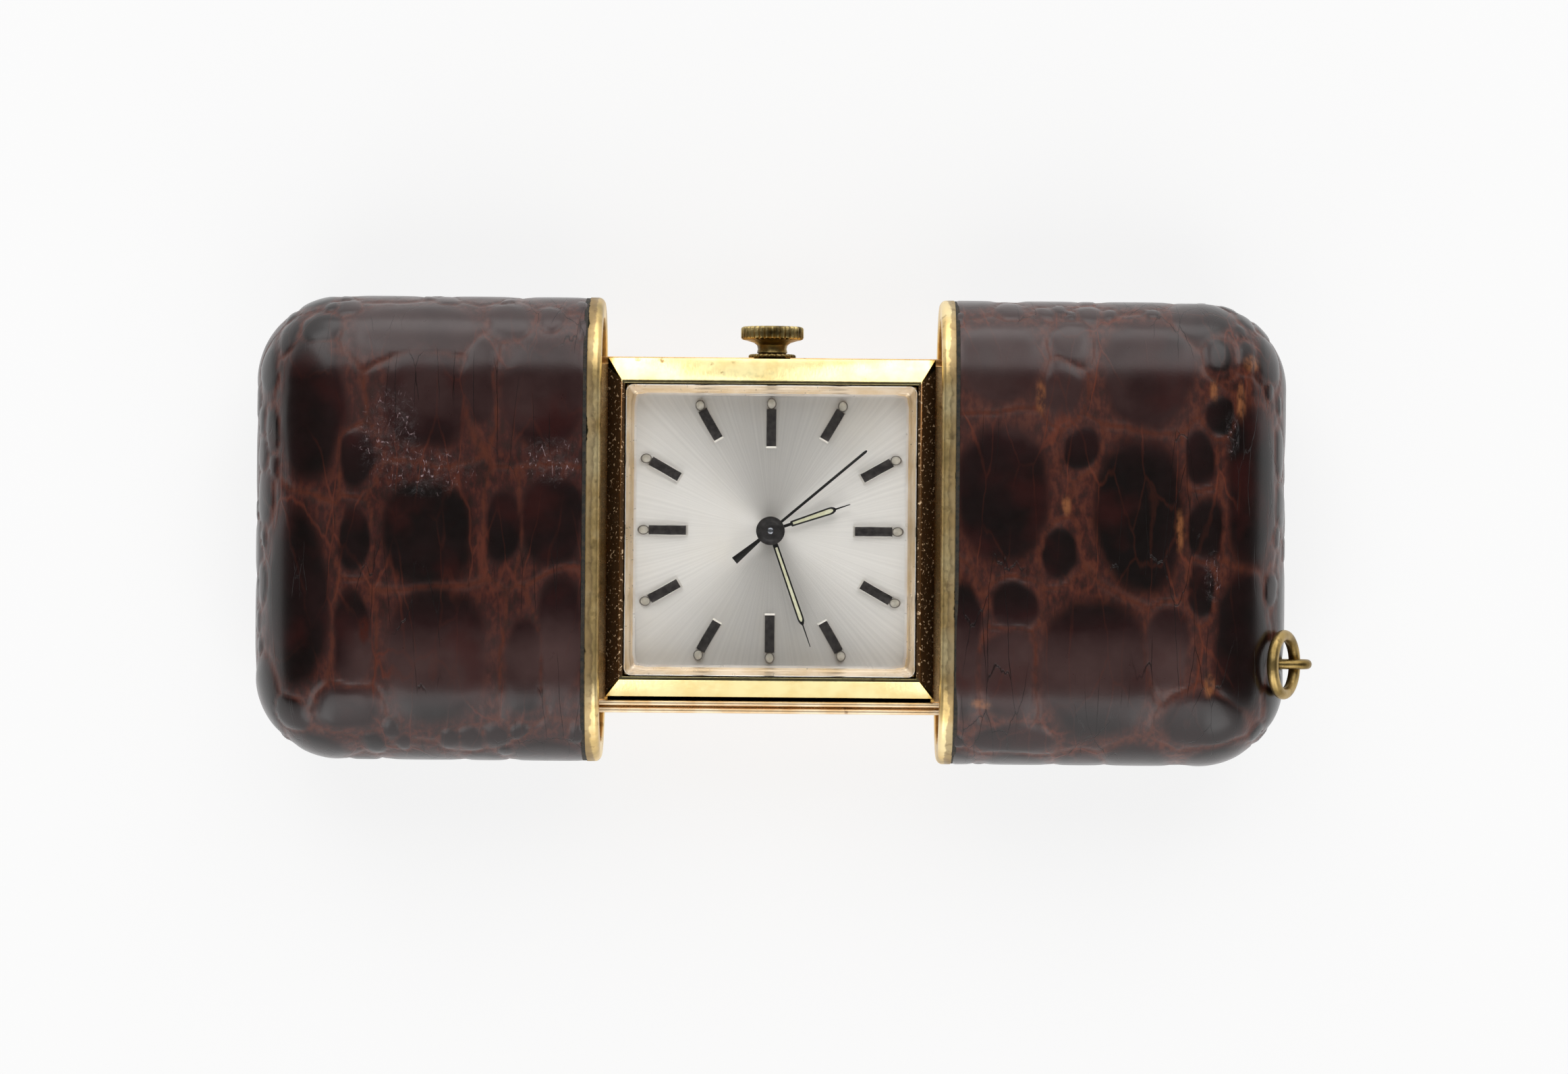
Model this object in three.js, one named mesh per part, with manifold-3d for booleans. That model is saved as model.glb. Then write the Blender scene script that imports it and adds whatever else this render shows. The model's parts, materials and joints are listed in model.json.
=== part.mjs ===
// Travel watch with two leather-covered shells that slide apart over an inner carrier.
// Millimetres. X is the slide direction, Y points to 12 o'clock, Z points out of the dial.
// The watch lies on its back, fully open.

import * as THREE from 'three';
import { mergeVertices } from 'three/addons/utils/BufferGeometryUtils.js';
import Module from 'manifold-3d';

const wasm = await Module();
wasm.setup();

// Shell skin
const leatherThickness = 0.9;
const glueLine = 0.1;
const linerThickness = 0.4;
const shellWall = leatherThickness + glueLine + linerThickness;
const shellLength = 25.4;
const shellEdgeRadius = 6.4;
const shellEndFlat = 0.25;
const cornerSteps = 5;
const rimWidth = 1.05;
const rimEdge = 0.15;
const rimGap = 0.1;

// Running clearances
const carrierClearance = 0.25;
const carrierEndGap = 0.15;
const frontClearance = 0.2;
const crownClearance = 0.58;
const closedRimGap = 0.3;
const mouthClearance = 0.4;
const pivotGap = 0.1;
const tubeGap = 0.08;
const seatGap = 0.3;
const closeGap = 0.1;
const restGap = 0.05;

// How far joined bodies reach into each other, and cutting bodies run past a face
const weldDepth = 0.1;
const cutOverrun = 1.0;

// Facets around round pieces
const pinSides = 10;
const holeSides = 12;
const tubeSides = 16;
const hubSides = 20;
const drumSides = 24;
const plateSides = 40;

// Heights of the stack, counted up from the shell backs
const carrierFloor = 0.5;
const backThickness = 0.8;
const backToBridge = 0.65;
const bridgeThickness = 0.85;
const wheelThickness = 0.2;
const wheelGap = 0.1;
const wheelHeadroom = 0.15;
const bridgeHeadroom = 0.25;
const plateHeadroom = 0.2;
const dialHeadroom = 0.25;
const pinionHeight = 0.3;
const drumHeight = 0.5;
const drumFloor = 0.4;
const plateThickness = 1.7;
const dialThickness = 0.3;
const markerHeight = 0.4;
const handThickness = 0.15;
const handGap = 0.25;
const secondsHandGap = 0.2;
const crystalHeadroom = 0.15;
const crystalThickness = 1.15;
const crystalBevel = 0.4;

const carrierBottom = shellWall + carrierClearance;
const carrierFloorTop = carrierBottom + carrierFloor;
const backBottom = carrierFloorTop + seatGap;
const backTop = backBottom + backThickness;
const bridgeBottom = backTop + backToBridge;
const bridgeTop = bridgeBottom + bridgeThickness;
const fourthWheelZ = bridgeTop + bridgeHeadroom;
const ratchetZ = fourthWheelZ + wheelThickness + wheelGap;
const drumBottom = ratchetZ + wheelThickness + wheelGap;
const drumTop = drumBottom + drumHeight + drumFloor;
const barrelTeethZ = drumBottom + drumHeight + restGap;
const barrelTeethHeight = 0.3;
const thirdWheelZ = drumBottom + wheelHeadroom;
const escapeWheelZ = thirdWheelZ + wheelThickness + bridgeHeadroom;
const balanceRimHeight = 0.3;
const balanceRimZ = drumBottom;
const centreWheelZ = drumTop + wheelHeadroom;
const plateBottom = centreWheelZ + wheelThickness + plateHeadroom;
const plateTop = plateBottom + plateThickness;
const minuteWheelZ = plateTop + plateHeadroom;
const hourWheelZ = minuteWheelZ + wheelThickness + wheelHeadroom;
const dialBottom = hourWheelZ + wheelThickness + dialHeadroom;
const dialTop = dialBottom + dialThickness;
const markerTop = dialTop + markerHeight;
const hourHandZ = markerTop + handGap;
const minuteHandZ = hourHandZ + handThickness + handGap;
const secondsHandZ = minuteHandZ + handThickness + secondsHandGap;
const crystalBottom = secondsHandZ + handThickness + crystalHeadroom;
const crystalTop = crystalBottom + crystalThickness;
const shellThickness = crystalTop + frontClearance + shellWall;
const midHeight = shellThickness / 2;

// Movement, case and bezel, from the movement outwards
const plateRadius = 9.7;
const plateToCase = 1.0;
const caseWall = 0.9;
const crystalSideGap = 0.15;
const caseInner = plateRadius + plateToCase;
const caseOuter = caseInner + caseWall;
const crystalHalf = caseInner - crystalSideGap;
const rehautWidth = 0.8;
const rehautOuter = crystalHalf - restGap;
const rehautInner = rehautOuter - rehautWidth;
const backChamferWidth = 0.9;
const backChamferHeight = 0.5;
const bezelSideOverhang = 0.3;
const bezelTopOverhang = 0.9;
const bezelBottomOverhang = 0.5;
const bezelEdgeHeight = 0.7;
const bezelLip = 0.25;
const bezelAboveDial = 0.85;
const bezelHalfWidth = caseOuter + bezelSideOverhang;
const bezelUpperEdge = caseOuter + bezelTopOverhang;
const bezelLowerEdge = caseOuter + bezelBottomOverhang;
const bezelBottom = dialTop + bezelAboveDial;
const bezelTop = crystalTop - crystalBevel;

// Carrier that the shells slide on
const upperWallThickness = 0.5;
const lowerRailThickness = 0.9;
const upperWallLedge = 0.1;
const upperWallDrop = 0.2;
const lowerRailRise = 0.3;
const upperWallOuter = bezelUpperEdge + upperWallLedge;
const lowerRailOuter = bezelLowerEdge + seatGap + lowerRailThickness;
const upperWallInner = upperWallOuter - upperWallThickness;
const lowerRailInner = lowerRailOuter - lowerRailThickness;
const upperWallTop = bezelBottom - upperWallDrop;
const lowerRailTop = bezelBottom + lowerRailRise;
const railGrooveWidth = 0.16;
const railGrooveDepth = 0.3;
const deckThickness = 0.4;
const deckDrop = 0.1;
const deckSideGap = 0.15;
const deckTop = upperWallTop - deckDrop;
const carrierCornerRise = 1.0;
const troughFillet = 0.3;

// Crown group on the 12 o'clock side
const collarRadius = 1.75;
const collarThickness = 0.32;
const neckRadius = 1.12;
const neckLength = 1.0;
const crownRadius = 2.3;
const crownThickness = 1.0;
const crownTeeth = 32;
const crownToothDepth = 0.16;
const crownBevelHeight = 0.1;
const crownBevelWidth = 0.12;
const neckRoot = 0.3;
const stemRoot = 0.4;
const stemTubeRoot = 0.5;
const stemRadius = 0.5;
const stemTubeRadius = 1.0;
const stemTubeBore = 0.75;
const collarBase = upperWallOuter + restGap;
const collarTop = collarBase + collarThickness;
const crownNeckBase = collarTop + restGap;
const crownBase = crownNeckBase + neckLength;
const crownTip = crownBase + crownThickness;

// Shell plan sizes that follow
const shellHeight = 2 * (crownTip + crownClearance + shellWall);
const mouthX = bezelHalfWidth + mouthClearance;
const slideTravel = mouthX - closedRimGap / 2;
const shellEndX = mouthX + shellLength;
const innerRadius = shellEdgeRadius - shellWall;
const carrierHalfLength = shellEndX - slideTravel - shellWall - innerRadius - carrierEndGap;

// Guide blocks with stop pins
const guideLength = 7.0;
const guideHeight = 4.0;
const guideSeat = 0.25;
const stopPinRadius = 0.4;
const stopPinInset = 1.0;
const stopPinReach = 0.35;
const stopPinRoot = 0.5;
const slotClearance = 0.2;
const slotFloorGap = 0.15;
const slotToCarrierEnd = 2.1;
const slotHalf = stopPinRadius + slotClearance;
const stopPinX = carrierHalfLength - slotToCarrierEnd - slotHalf;

// Friction springs on the decks
const springThickness = 0.2;
const springWidth = 5.0;
const springLength = 5.2;
const springFootRise = 0.15;

// Lanyard ring and its staple
const eyeletY = -9.4;
const eyeletZ = 9.6;
const eyeletStandOff = 0.65;
const eyeletBend = 0.9;
const eyeletWire = 0.36;
const eyeletLeg = 3.0;
const eyeletHoleGap = 0.15;
const ringWire = 0.425;
const ringRadius = 2.105;
const stapleSteps = 24;
const ringWireSides = 8;
const ringSteps = 28;
const ringLean = THREE.MathUtils.degToRad(118);
const eyeletX = shellEndX + eyeletStandOff;
const overhang = eyeletX + eyeletBend + eyeletWire - shellEndX;

// Gear train
const barrelTeeth = 72;
const centrePinionTeeth = 10;
const centreWheelTeeth = 60;
const thirdPinionTeeth = 8;
const thirdWheelTeeth = 64;
const fourthPinionTeeth = 8;
const fourthWheelTeeth = 70;
const escapePinionTeeth = 7;
const escapeTeeth = 15;
const cannonTeeth = 12;
const minuteWheelTeeth = 36;
const minutePinionTeeth = 10;
const hourWheelTeeth = 40;
const ratchetTeeth = 36;
const crownWheelTeeth = 34;
const windingPinionTeeth = 12;
const barrelModule = 0.12;
const thirdModule = 0.1;
const escapeModule = 0.092;
const motionModule = 0.15;
const addendum = 0.9;
const dedendum = 1.25;
const escapeRadius = 1.7;
const escapePhase = 0.2;
const escapeToPallet = 2.05;
const palletToBalance = 2.6;
const balanceRadius = 3.3;
const balanceRimWidth = 0.4;
const balanceHub = 0.5;
const balanceArmHalf = 0.25;
const rollerRadius = 0.85;
const rollerThickness = 0.15;
const rollerPinRadius = 0.1;
const rollerPinOffset = 0.72;
const rollerPinHalf = 0.2;
const forkHalfSpread = 66;
const palletArm = 0.95;
const palletArmHalf = 0.15;
const leverArmHalf = 0.14;
const leverToBalance = 1.05;
const hairspringInner = 0.45;
const hairspringOuter = 1.9;
const hairspringThickness = 0.07;
const hairspringHeight = 0.15;
const drumInset = 0.35;
const drumWall = 0.35;
const mainspringCoreGap = 0.3;
const mainspringEdgeGap = 0.2;
const mainspringThickness = 0.12;
const escapeToothDepth = 0.2;
const balanceOffset = 5.9;
const crownWheelInset = 3.4;

// Arbor radii, from the middle outwards
const secondsArbor = 0.12;
const centreTubeBore = secondsArbor + tubeGap;
const centreTube = centreTubeBore + 0.14;
const cannonBore = centreTube + tubeGap;
const cannonTube = cannonBore + 0.14;
const hourTubeBore = cannonTube + tubeGap;
const hourTube = hourTubeBore + 0.14;
const hourHubBore = hourTube + tubeGap;
const handHub = 1.04;
const arborRadius = 0.2;
const escapeArbor = 0.15;
const forkArbor = 0.12;
const balanceArbor = 0.15;
const barrelArbor = 0.7;

// Directions of the wheels from the centre, in degrees
const barrelDirection = 135;
const thirdDirection = -20;
const escapeDirection = -90;
const balanceDirection = -125;
const minuteWheelDirection = 60;

// Hands and markers, angles clockwise from 12
const hourAngle = 71.2;
const minuteAngle = 160.6;
const secondsAngle = 49.8;
const hourHand = { length: 6.1, width: 0.55, shoulder: 5.1, tip: 0.12 };
const minuteHand = { length: 8.9, width: 0.48, shoulder: 7.1, tip: 0.12 };
const handRoot = 0.15;
const shoulderTaper = 0.6;
const secondsHand = { length: 9.1, width: 0.2, tip: 0.1, tail: 3.4, tailWidth: 0.58 };
const markerWidth = 0.71;
const lumeDotRadius = 0.35;
const dotDrop = 0.1;
const dialHoleGap = 0.2;
const mainMarkerGap = 0.25;
const minorMarkerGap = 0.43;
const mainMarker = { reach: rehautInner - mainMarkerGap, length: 2.65 };
const minorMarker = { reach: (rehautInner - minorMarkerGap) / Math.cos(Math.PI / 6), length: 2.35 };

// Materials
const finish = (color, roughness, metalness) =>
  new THREE.MeshStandardMaterial({ color, roughness, metalness });
const leather = finish(0x3a1a16, 0.35, 0);
const gold = finish(0xe8c36a, 0.25, 1);
const agedBrass = finish(0x8a7440, 0.45, 1);
const brass = finish(0xc9a85c, 0.4, 1);
const nickel = finish(0xb8b6b0, 0.35, 1);
const steel = finish(0x8d9096, 0.3, 1);
const silverDial = finish(0xd5d0cb, 0.4, 0.6);
const darkMarker = finish(0x2c2a2a, 0.25, 0.8);
const blackHand = finish(0x141312, 0.35, 0.4);
const acrylic = new THREE.MeshStandardMaterial({
  color: 0xf4f4f2, roughness: 0.05, metalness: 0, transparent: true, opacity: 0.25,
});

const assembly = new THREE.Group();
assembly.position.x = -overhang / 2;

function addPiece(name, geometry, material, parent = assembly) {
  const mesh = new THREE.Mesh(geometry, material);
  mesh.name = name;
  parent.add(mesh);
  return mesh;
}

// Solid helpers

function toSolid(geometry) {
  const bare = geometry.clone();
  bare.deleteAttribute('normal');
  bare.deleteAttribute('uv');
  const merged = mergeVertices(bare, 1e-5);
  return new wasm.Manifold(new wasm.Mesh({
    numProp: 3,
    vertProperties: new Float32Array(merged.attributes.position.array),
    triVerts: new Uint32Array(merged.index.array),
  }));
}

function toGeometry(solid) {
  const mesh = solid.getMesh();
  const geometry = new THREE.BufferGeometry();
  geometry.setAttribute('position', new THREE.BufferAttribute(mesh.vertProperties, 3));
  geometry.setIndex(new THREE.BufferAttribute(mesh.triVerts, 1));
  return geometry;
}

function joined(geometries) {
  return geometries.map(toSolid).reduce((sum, piece) => sum.add(piece));
}

function cut(solid, geometries) {
  return geometries.map(toSolid).reduce((rest, piece) => rest.subtract(piece), solid);
}

function extrude(shape, bottom, top, curveSegments = 12) {
  const geometry = new THREE.ExtrudeGeometry(shape, {
    depth: top - bottom, bevelEnabled: false, curveSegments,
  });
  return geometry.translate(0, 0, bottom);
}

function polygon(points) {
  return new THREE.Shape(points.map(([x, y]) => new THREE.Vector2(x, y)));
}

function box(lowX, highX, lowY, highY, lowZ, highZ) {
  const geometry = new THREE.BoxGeometry(highX - lowX, highY - lowY, highZ - lowZ);
  return geometry.translate((lowX + highX) / 2, (lowY + highY) / 2, (lowZ + highZ) / 2);
}

function cylinderZ(place, radius, bottom, top, sides = tubeSides) {
  const geometry = new THREE.CylinderGeometry(radius, radius, top - bottom, sides);
  geometry.rotateX(Math.PI / 2);
  return geometry.translate(place.x, place.y, (bottom + top) / 2);
}

function cylinderY(x, z, radius, near, far, sides = tubeSides) {
  const geometry = new THREE.CylinderGeometry(radius, radius, far - near, sides);
  return geometry.translate(x, (near + far) / 2, z);
}

function cylinderX(y, z, radius, near, far, sides = holeSides) {
  const geometry = new THREE.CylinderGeometry(radius, radius, far - near, sides);
  geometry.rotateZ(Math.PI / 2);
  return geometry.translate((near + far) / 2, y, z);
}

function capsuleShape(from, to, radius) {
  const along = to.clone().sub(from);
  const angle = Math.atan2(along.y, along.x);
  const shape = new THREE.Shape();
  shape.absarc(to.x, to.y, radius, angle - Math.PI / 2, angle + Math.PI / 2, false);
  shape.absarc(from.x, from.y, radius, angle + Math.PI / 2, angle + 3 * Math.PI / 2, false);
  shape.closePath();
  return shape;
}

function capsule(from, to, radius, bottom, top) {
  return extrude(capsuleShape(from, to, radius), bottom, top, 4);
}

function polar(distance, degrees, centre = new THREE.Vector2()) {
  const angle = THREE.MathUtils.degToRad(degrees);
  return new THREE.Vector2(
    centre.x + distance * Math.cos(angle),
    centre.y + distance * Math.sin(angle),
  );
}

// Lofts through rings of equal point counts

function loft(rings, { loop = false, flip = false } = {}) {
  const count = rings[0].length;
  const positions = rings.flat().flatMap((point) => [point.x, point.y, point.z]);
  const faces = [];
  const face = (a, b, c) => faces.push(...(flip ? [a, c, b] : [a, b, c]));
  const bands = loop ? rings.length : rings.length - 1;
  for (let ring = 0; ring < bands; ring += 1) {
    const here = ring * count;
    const next = ((ring + 1) % rings.length) * count;
    for (let step = 0; step < count; step += 1) {
      const after = (step + 1) % count;
      face(here + step, next + step, next + after);
      face(here + step, next + after, here + after);
    }
  }
  if (!loop) {
    const last = (rings.length - 1) * count;
    for (let step = 1; step < count - 1; step += 1) {
      face(0, step, step + 1);
      face(last, last + step + 1, last + step);
    }
  }
  const geometry = new THREE.BufferGeometry();
  geometry.setAttribute('position', new THREE.Float32BufferAttribute(positions, 3));
  geometry.setIndex(faces);
  return geometry;
}

// A rectangle ring in the XY plane, counter-clockwise seen from +Z

function rectangleRing(left, right, lower, upper, z) {
  return [[left, lower], [right, lower], [right, upper], [left, upper]]
    .map(([x, y]) => new THREE.Vector3(x, y, z));
}

function squareRing(half, z) {
  return rectangleRing(-half, half, -half, half, z);
}

// A ring of the shell's section at one X, inset from the shell's outer skin

function sectionRing(x, inset, edgeRadius) {
  const halfY = shellHeight / 2 - inset;
  const halfZ = shellThickness / 2 - inset;
  const ring = [];
  const corners = [[1, 1], [-1, 1], [-1, -1], [1, -1]];
  corners.forEach(([signY, signZ], corner) => {
    for (let step = 0; step <= cornerSteps; step += 1) {
      const angle = (corner + step / cornerSteps) * Math.PI / 2;
      const y = signY * (halfY - edgeRadius) + edgeRadius * Math.cos(angle);
      const z = signZ * (halfZ - edgeRadius) + edgeRadius * Math.sin(angle);
      ring.push(new THREE.Vector3(x, y, midHeight + z));
    }
  });
  return ring;
}

// The rings of one skin of a shell, from the mouth to the rounded closed end

function skinRings(side, depth, start) {
  const radius = shellEdgeRadius - depth;
  const end = shellEndX - depth;
  const rings = [sectionRing(side * start, depth, radius)];
  for (let step = 0; step <= cornerSteps; step += 1) {
    const angle = step / cornerSteps * Math.PI / 2;
    const drawnIn = Math.min(radius * (1 - Math.cos(angle)), radius - shellEndFlat);
    const x = end - radius * (1 - Math.sin(angle));
    rings.push(sectionRing(side * x, depth + drawnIn, radius - drawnIn));
  }
  return rings;
}

function shellCup(side, outerDepth, innerDepth, start) {
  const inner = skinRings(side, innerDepth, start).reverse();
  const outer = skinRings(side, outerDepth, start);
  return loft([...inner, ...outer], { flip: side > 0 });
}

function rimBand(side) {
  const back = mouthX + rimWidth;
  const ring = (x, depth) => sectionRing(side * x, depth, shellEdgeRadius - depth);
  const rings = [
    ring(back, shellWall),
    ring(mouthX + rimEdge, shellWall),
    ring(mouthX, shellWall - rimEdge),
    ring(mouthX, rimEdge),
    ring(mouthX + rimEdge, 0),
    ring(back, 0),
  ];
  return loft(rings, { loop: true, flip: side > 0 });
}

function eyeletHoles() {
  return [-eyeletBend, eyeletBend].map((offset) => cylinderX(
    eyeletY, eyeletZ + offset, eyeletWire + eyeletHoleGap,
    eyeletX - eyeletLeg - eyeletWire, shellEndX + cutOverrun,
  ));
}

function guideBlock(side, wallOuter, up) {
  const near = stopPinX - stopPinInset;
  const blockInner = wallOuter + stopPinReach / 2;
  const blockOuter = shellHeight / 2 - shellWall - guideSeat;
  const [lowX, highX] = side > 0 ? [near, near + guideLength] : [-near - guideLength, -near];
  const [lowY, highY] = up > 0 ? [blockInner, blockOuter] : [-blockOuter, -blockInner];
  const halfHeight = guideHeight / 2;
  const block = box(lowX, highX, lowY, highY, midHeight - halfHeight, midHeight + halfHeight);
  const pinX = side * stopPinX;
  const pinTip = wallOuter - stopPinReach;
  const pin = up > 0
    ? cylinderY(pinX, midHeight, stopPinRadius, pinTip, blockInner + stopPinRoot, pinSides)
    : cylinderY(pinX, midHeight, stopPinRadius, -blockInner - stopPinRoot, -pinTip, pinSides);
  return toGeometry(joined([block, pin]));
}

function buildShell(side, word) {
  const shell = new THREE.Group();
  assembly.add(shell);
  const start = mouthX + rimWidth + rimGap;
  let cover = shellCup(side, 0, leatherThickness, start);
  let liner = shellCup(side, leatherThickness + glueLine, shellWall, start);
  if (side > 0) {
    cover = toGeometry(cut(toSolid(cover), eyeletHoles()));
    liner = toGeometry(cut(toSolid(liner), eyeletHoles()));
  }
  addPiece(`${word}_leather_cover`, cover, leather, shell);
  addPiece(`${word}_shell_liner`, liner, brass, shell);
  addPiece(`${word}_mouth_rim`, rimBand(side), gold, shell);
  addPiece(`${word}_upper_guide`, guideBlock(side, upperWallOuter, 1), brass, shell);
  addPiece(`${word}_lower_guide`, guideBlock(side, lowerRailOuter, -1), brass, shell);
}

// The staple is a U of wire in the XZ plane with both legs in the shell end

class StaplePath extends THREE.Curve {
  getPoint(t) {
    const arc = Math.PI * eyeletBend;
    const total = 2 * eyeletLeg + arc;
    const travelled = t * total;
    if (travelled < eyeletLeg) {
      return new THREE.Vector3(travelled - eyeletLeg, 0, -eyeletBend);
    }
    if (travelled > eyeletLeg + arc) {
      return new THREE.Vector3(eyeletLeg + arc - travelled, 0, eyeletBend);
    }
    const angle = (travelled - eyeletLeg) / eyeletBend - Math.PI / 2;
    return new THREE.Vector3(eyeletBend * Math.cos(angle), 0, eyeletBend * Math.sin(angle));
  }
}

function buildLanyard() {
  const wire = new THREE.Shape();
  wire.absarc(0, 0, eyeletWire, 0, 2 * Math.PI, false);
  const staple = new THREE.ExtrudeGeometry(wire, {
    steps: stapleSteps, extrudePath: new StaplePath(), curveSegments: 4,
  });
  const eyelet = addPiece('lanyard_eyelet', staple, agedBrass);
  eyelet.position.set(eyeletX, eyeletY, eyeletZ);
  const loop = new THREE.TorusGeometry(ringRadius, ringWire, ringWireSides, ringSteps);
  loop.translate(ringRadius, 0, 0);
  const ring = addPiece('lanyard_ring', loop, agedBrass);
  ring.position.set(eyeletX, eyeletY, eyeletZ);
  ring.rotation.y = -ringLean;
}

// Carrier: a trough with an upper wall, a double lower rail and a deck at each side

function carrierTrough() {
  const upper = upperWallOuter;
  const lower = -lowerRailOuter;
  const flatHalf = shellHeight / 2 - shellEdgeRadius;
  const wallFoot = carrierBottom + carrierCornerRise;
  const groove = -(lowerRailInner + lowerRailOuter) / 2;
  const section = polygon([
    [-flatHalf, carrierBottom], [flatHalf, carrierBottom], [upper, wallFoot],
    [upper, upperWallTop], [upperWallInner, upperWallTop],
    [upperWallInner, wallFoot + troughFillet], [flatHalf - troughFillet, carrierFloorTop],
    [troughFillet - flatHalf, carrierFloorTop], [-lowerRailInner, wallFoot + troughFillet],
    [-lowerRailInner, lowerRailTop],
    [groove + railGrooveWidth / 2, lowerRailTop],
    [groove + railGrooveWidth / 2, lowerRailTop - railGrooveDepth],
    [groove - railGrooveWidth / 2, lowerRailTop - railGrooveDepth],
    [groove - railGrooveWidth / 2, lowerRailTop],
    [lower, lowerRailTop], [lower, wallFoot],
  ]);
  const trough = extrude(section, -carrierHalfLength, carrierHalfLength);
  const toYZ = new THREE.Matrix4().makeBasis(
    new THREE.Vector3(0, 1, 0), new THREE.Vector3(0, 0, 1), new THREE.Vector3(1, 0, 0),
  );
  return trough.applyMatrix4(toYZ);
}

function stopSlot(side) {
  const outer = stopPinX + slotHalf;
  const inner = outer - slideTravel - 2 * slotHalf;
  const [lowX, highX] = side > 0 ? [inner, outer] : [-outer, -inner];
  const slot = (lowY, highY) => box(
    lowX, highX, lowY, highY, midHeight - slotHalf, midHeight + slotHalf,
  );
  return [
    slot(upperWallInner - cutOverrun, upperWallOuter + cutOverrun),
    slot(-lowerRailOuter - cutOverrun, stopPinReach + slotFloorGap - lowerRailOuter),
  ];
}

function buildCarrier() {
  const deckStart = caseOuter + deckSideGap;
  const lower = -lowerRailInner - weldDepth;
  const upper = upperWallInner + weldDepth;
  const decks = [
    box(deckStart, carrierHalfLength, lower, upper, deckTop - deckThickness, deckTop),
    box(-carrierHalfLength, -deckStart, lower, upper, deckTop - deckThickness, deckTop),
  ];
  const notchHalf = stemTubeRadius + seatGap;
  const notch = box(
    -notchHalf, notchHalf, upperWallInner - cutOverrun, upperWallOuter + cutOverrun,
    stemZ - notchHalf, upperWallTop + cutOverrun,
  );
  const carrier = cut(joined([carrierTrough(), ...decks]), [notch, ...stopSlot(1), ...stopSlot(-1)]);
  addPiece('carrier_frame', toGeometry(carrier), gold);
}

function bowSpring(side, word) {
  const rise = shellThickness - shellWall - frontClearance - deckTop - restGap;
  const half = springLength / 2;
  const radius = (half * half + rise * rise) / (2 * rise);
  const sweep = Math.asin(half / radius);
  const shape = new THREE.Shape();
  shape.absarc(0, rise - radius, radius, Math.PI / 2 - sweep, Math.PI / 2 + sweep, false);
  const inner = radius - springThickness;
  shape.absarc(0, rise - radius, inner, Math.PI / 2 + sweep, Math.PI / 2 - sweep, true);
  shape.closePath();
  const strip = extrude(shape, -springWidth / 2, springWidth / 2, 10);
  strip.rotateX(Math.PI / 2);
  const spring = addPiece(`${word}_friction_spring`, strip, brass);
  const middle = (mouthX + carrierHalfLength) / 2;
  spring.position.set(side * middle, 0, deckTop + springFootRise);
}

// Case, bezel, crystal and dial

function buildCase() {
  const outline = polygon([
    [-caseOuter, -caseOuter], [caseOuter, -caseOuter],
    [caseOuter, caseOuter], [-caseOuter, caseOuter],
  ]);
  outline.holes.push(polygon([
    [-caseInner, -caseInner], [-caseInner, caseInner],
    [caseInner, caseInner], [caseInner, -caseInner],
  ]));
  const body = extrude(outline, backTop + restGap, bezelBottom - restGap);
  const stemHole = cylinderY(
    0, stemZ, stemTubeRadius + seatGap, caseInner - cutOverrun, caseOuter + cutOverrun,
  );
  addPiece('case_body', toGeometry(cut(toSolid(body), [stemHole])), gold);

  const plug = caseInner - closeGap;
  const back = loft([
    squareRing(caseOuter - backChamferWidth, backBottom),
    squareRing(caseOuter, backBottom + backChamferHeight),
    squareRing(caseOuter, backTop),
    squareRing(plug, backTop),
    squareRing(plug, backTop + seatGap),
  ], { flip: true });
  addPiece('case_back', back, gold);
}

function buildBezel() {
  const opening = crystalHalf + closeGap;
  const frameEdge = (z) => rectangleRing(
    -bezelHalfWidth, bezelHalfWidth, -bezelLowerEdge, bezelUpperEdge, z,
  );
  const frame = loft([
    squareRing(opening, bezelBottom),
    frameEdge(bezelBottom),
    frameEdge(bezelBottom + bezelEdgeHeight),
    squareRing(opening + bezelLip, bezelTop),
    squareRing(opening, bezelTop),
  ], { loop: true, flip: true });
  addPiece('bezel_frame', frame, gold);

  const rehautTop = crystalBottom - restGap;
  const rehaut = loft([
    squareRing(rehautInner, dialTop + restGap),
    squareRing(rehautOuter, dialTop + restGap),
    squareRing(rehautOuter, rehautTop),
    squareRing(rehautOuter - rehautWidth / 2, rehautTop),
  ], { loop: true, flip: true });
  addPiece('rehaut_ring', rehaut, gold);

  const crystal = loft([
    squareRing(crystalHalf, crystalBottom),
    squareRing(crystalHalf, crystalTop - crystalBevel),
    squareRing(crystalHalf - crystalBevel, crystalTop),
  ], { flip: true });
  addPiece('crystal', crystal, acrylic);
}

function buildDial() {
  const half = crystalHalf - restGap;
  const dial = polygon([[-half, -half], [half, -half], [half, half], [-half, half]]);
  const hole = new THREE.Path();
  hole.absarc(0, 0, hourTube + dialHoleGap, 0, 2 * Math.PI, true);
  dial.holes.push(hole);
  addPiece('dial', extrude(dial, dialBottom, dialTop, tubeSides), silverDial);
  for (let hour = 1; hour <= 12; hour += 1) {
    const { reach, length } = hour % 3 === 0 ? mainMarker : minorMarker;
    const end = reach - 2 * lumeDotRadius + restGap;
    const bar = box(-markerWidth / 2, markerWidth / 2, end - length, end, dialTop, markerTop);
    const dotPlace = new THREE.Vector2(0, reach - lumeDotRadius);
    const dot = cylinderZ(dotPlace, lumeDotRadius, dialTop, markerTop - dotDrop, pinSides);
    const marker = addPiece(`hour_marker_${hour}`, toGeometry(joined([bar, dot])), darkMarker);
    marker.rotation.z = -THREE.MathUtils.degToRad(30 * hour);
  }
}

// Hands, drawn pointing to 12 and then turned

function handHubRing(bore, bottom) {
  const ring = new THREE.Shape();
  ring.absarc(0, 0, handHub, 0, 2 * Math.PI, false);
  const hole = new THREE.Path();
  hole.absarc(0, 0, bore, 0, 2 * Math.PI, true);
  ring.holes.push(hole);
  return extrude(ring, bottom, bottom + handThickness, pinSides);
}

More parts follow.
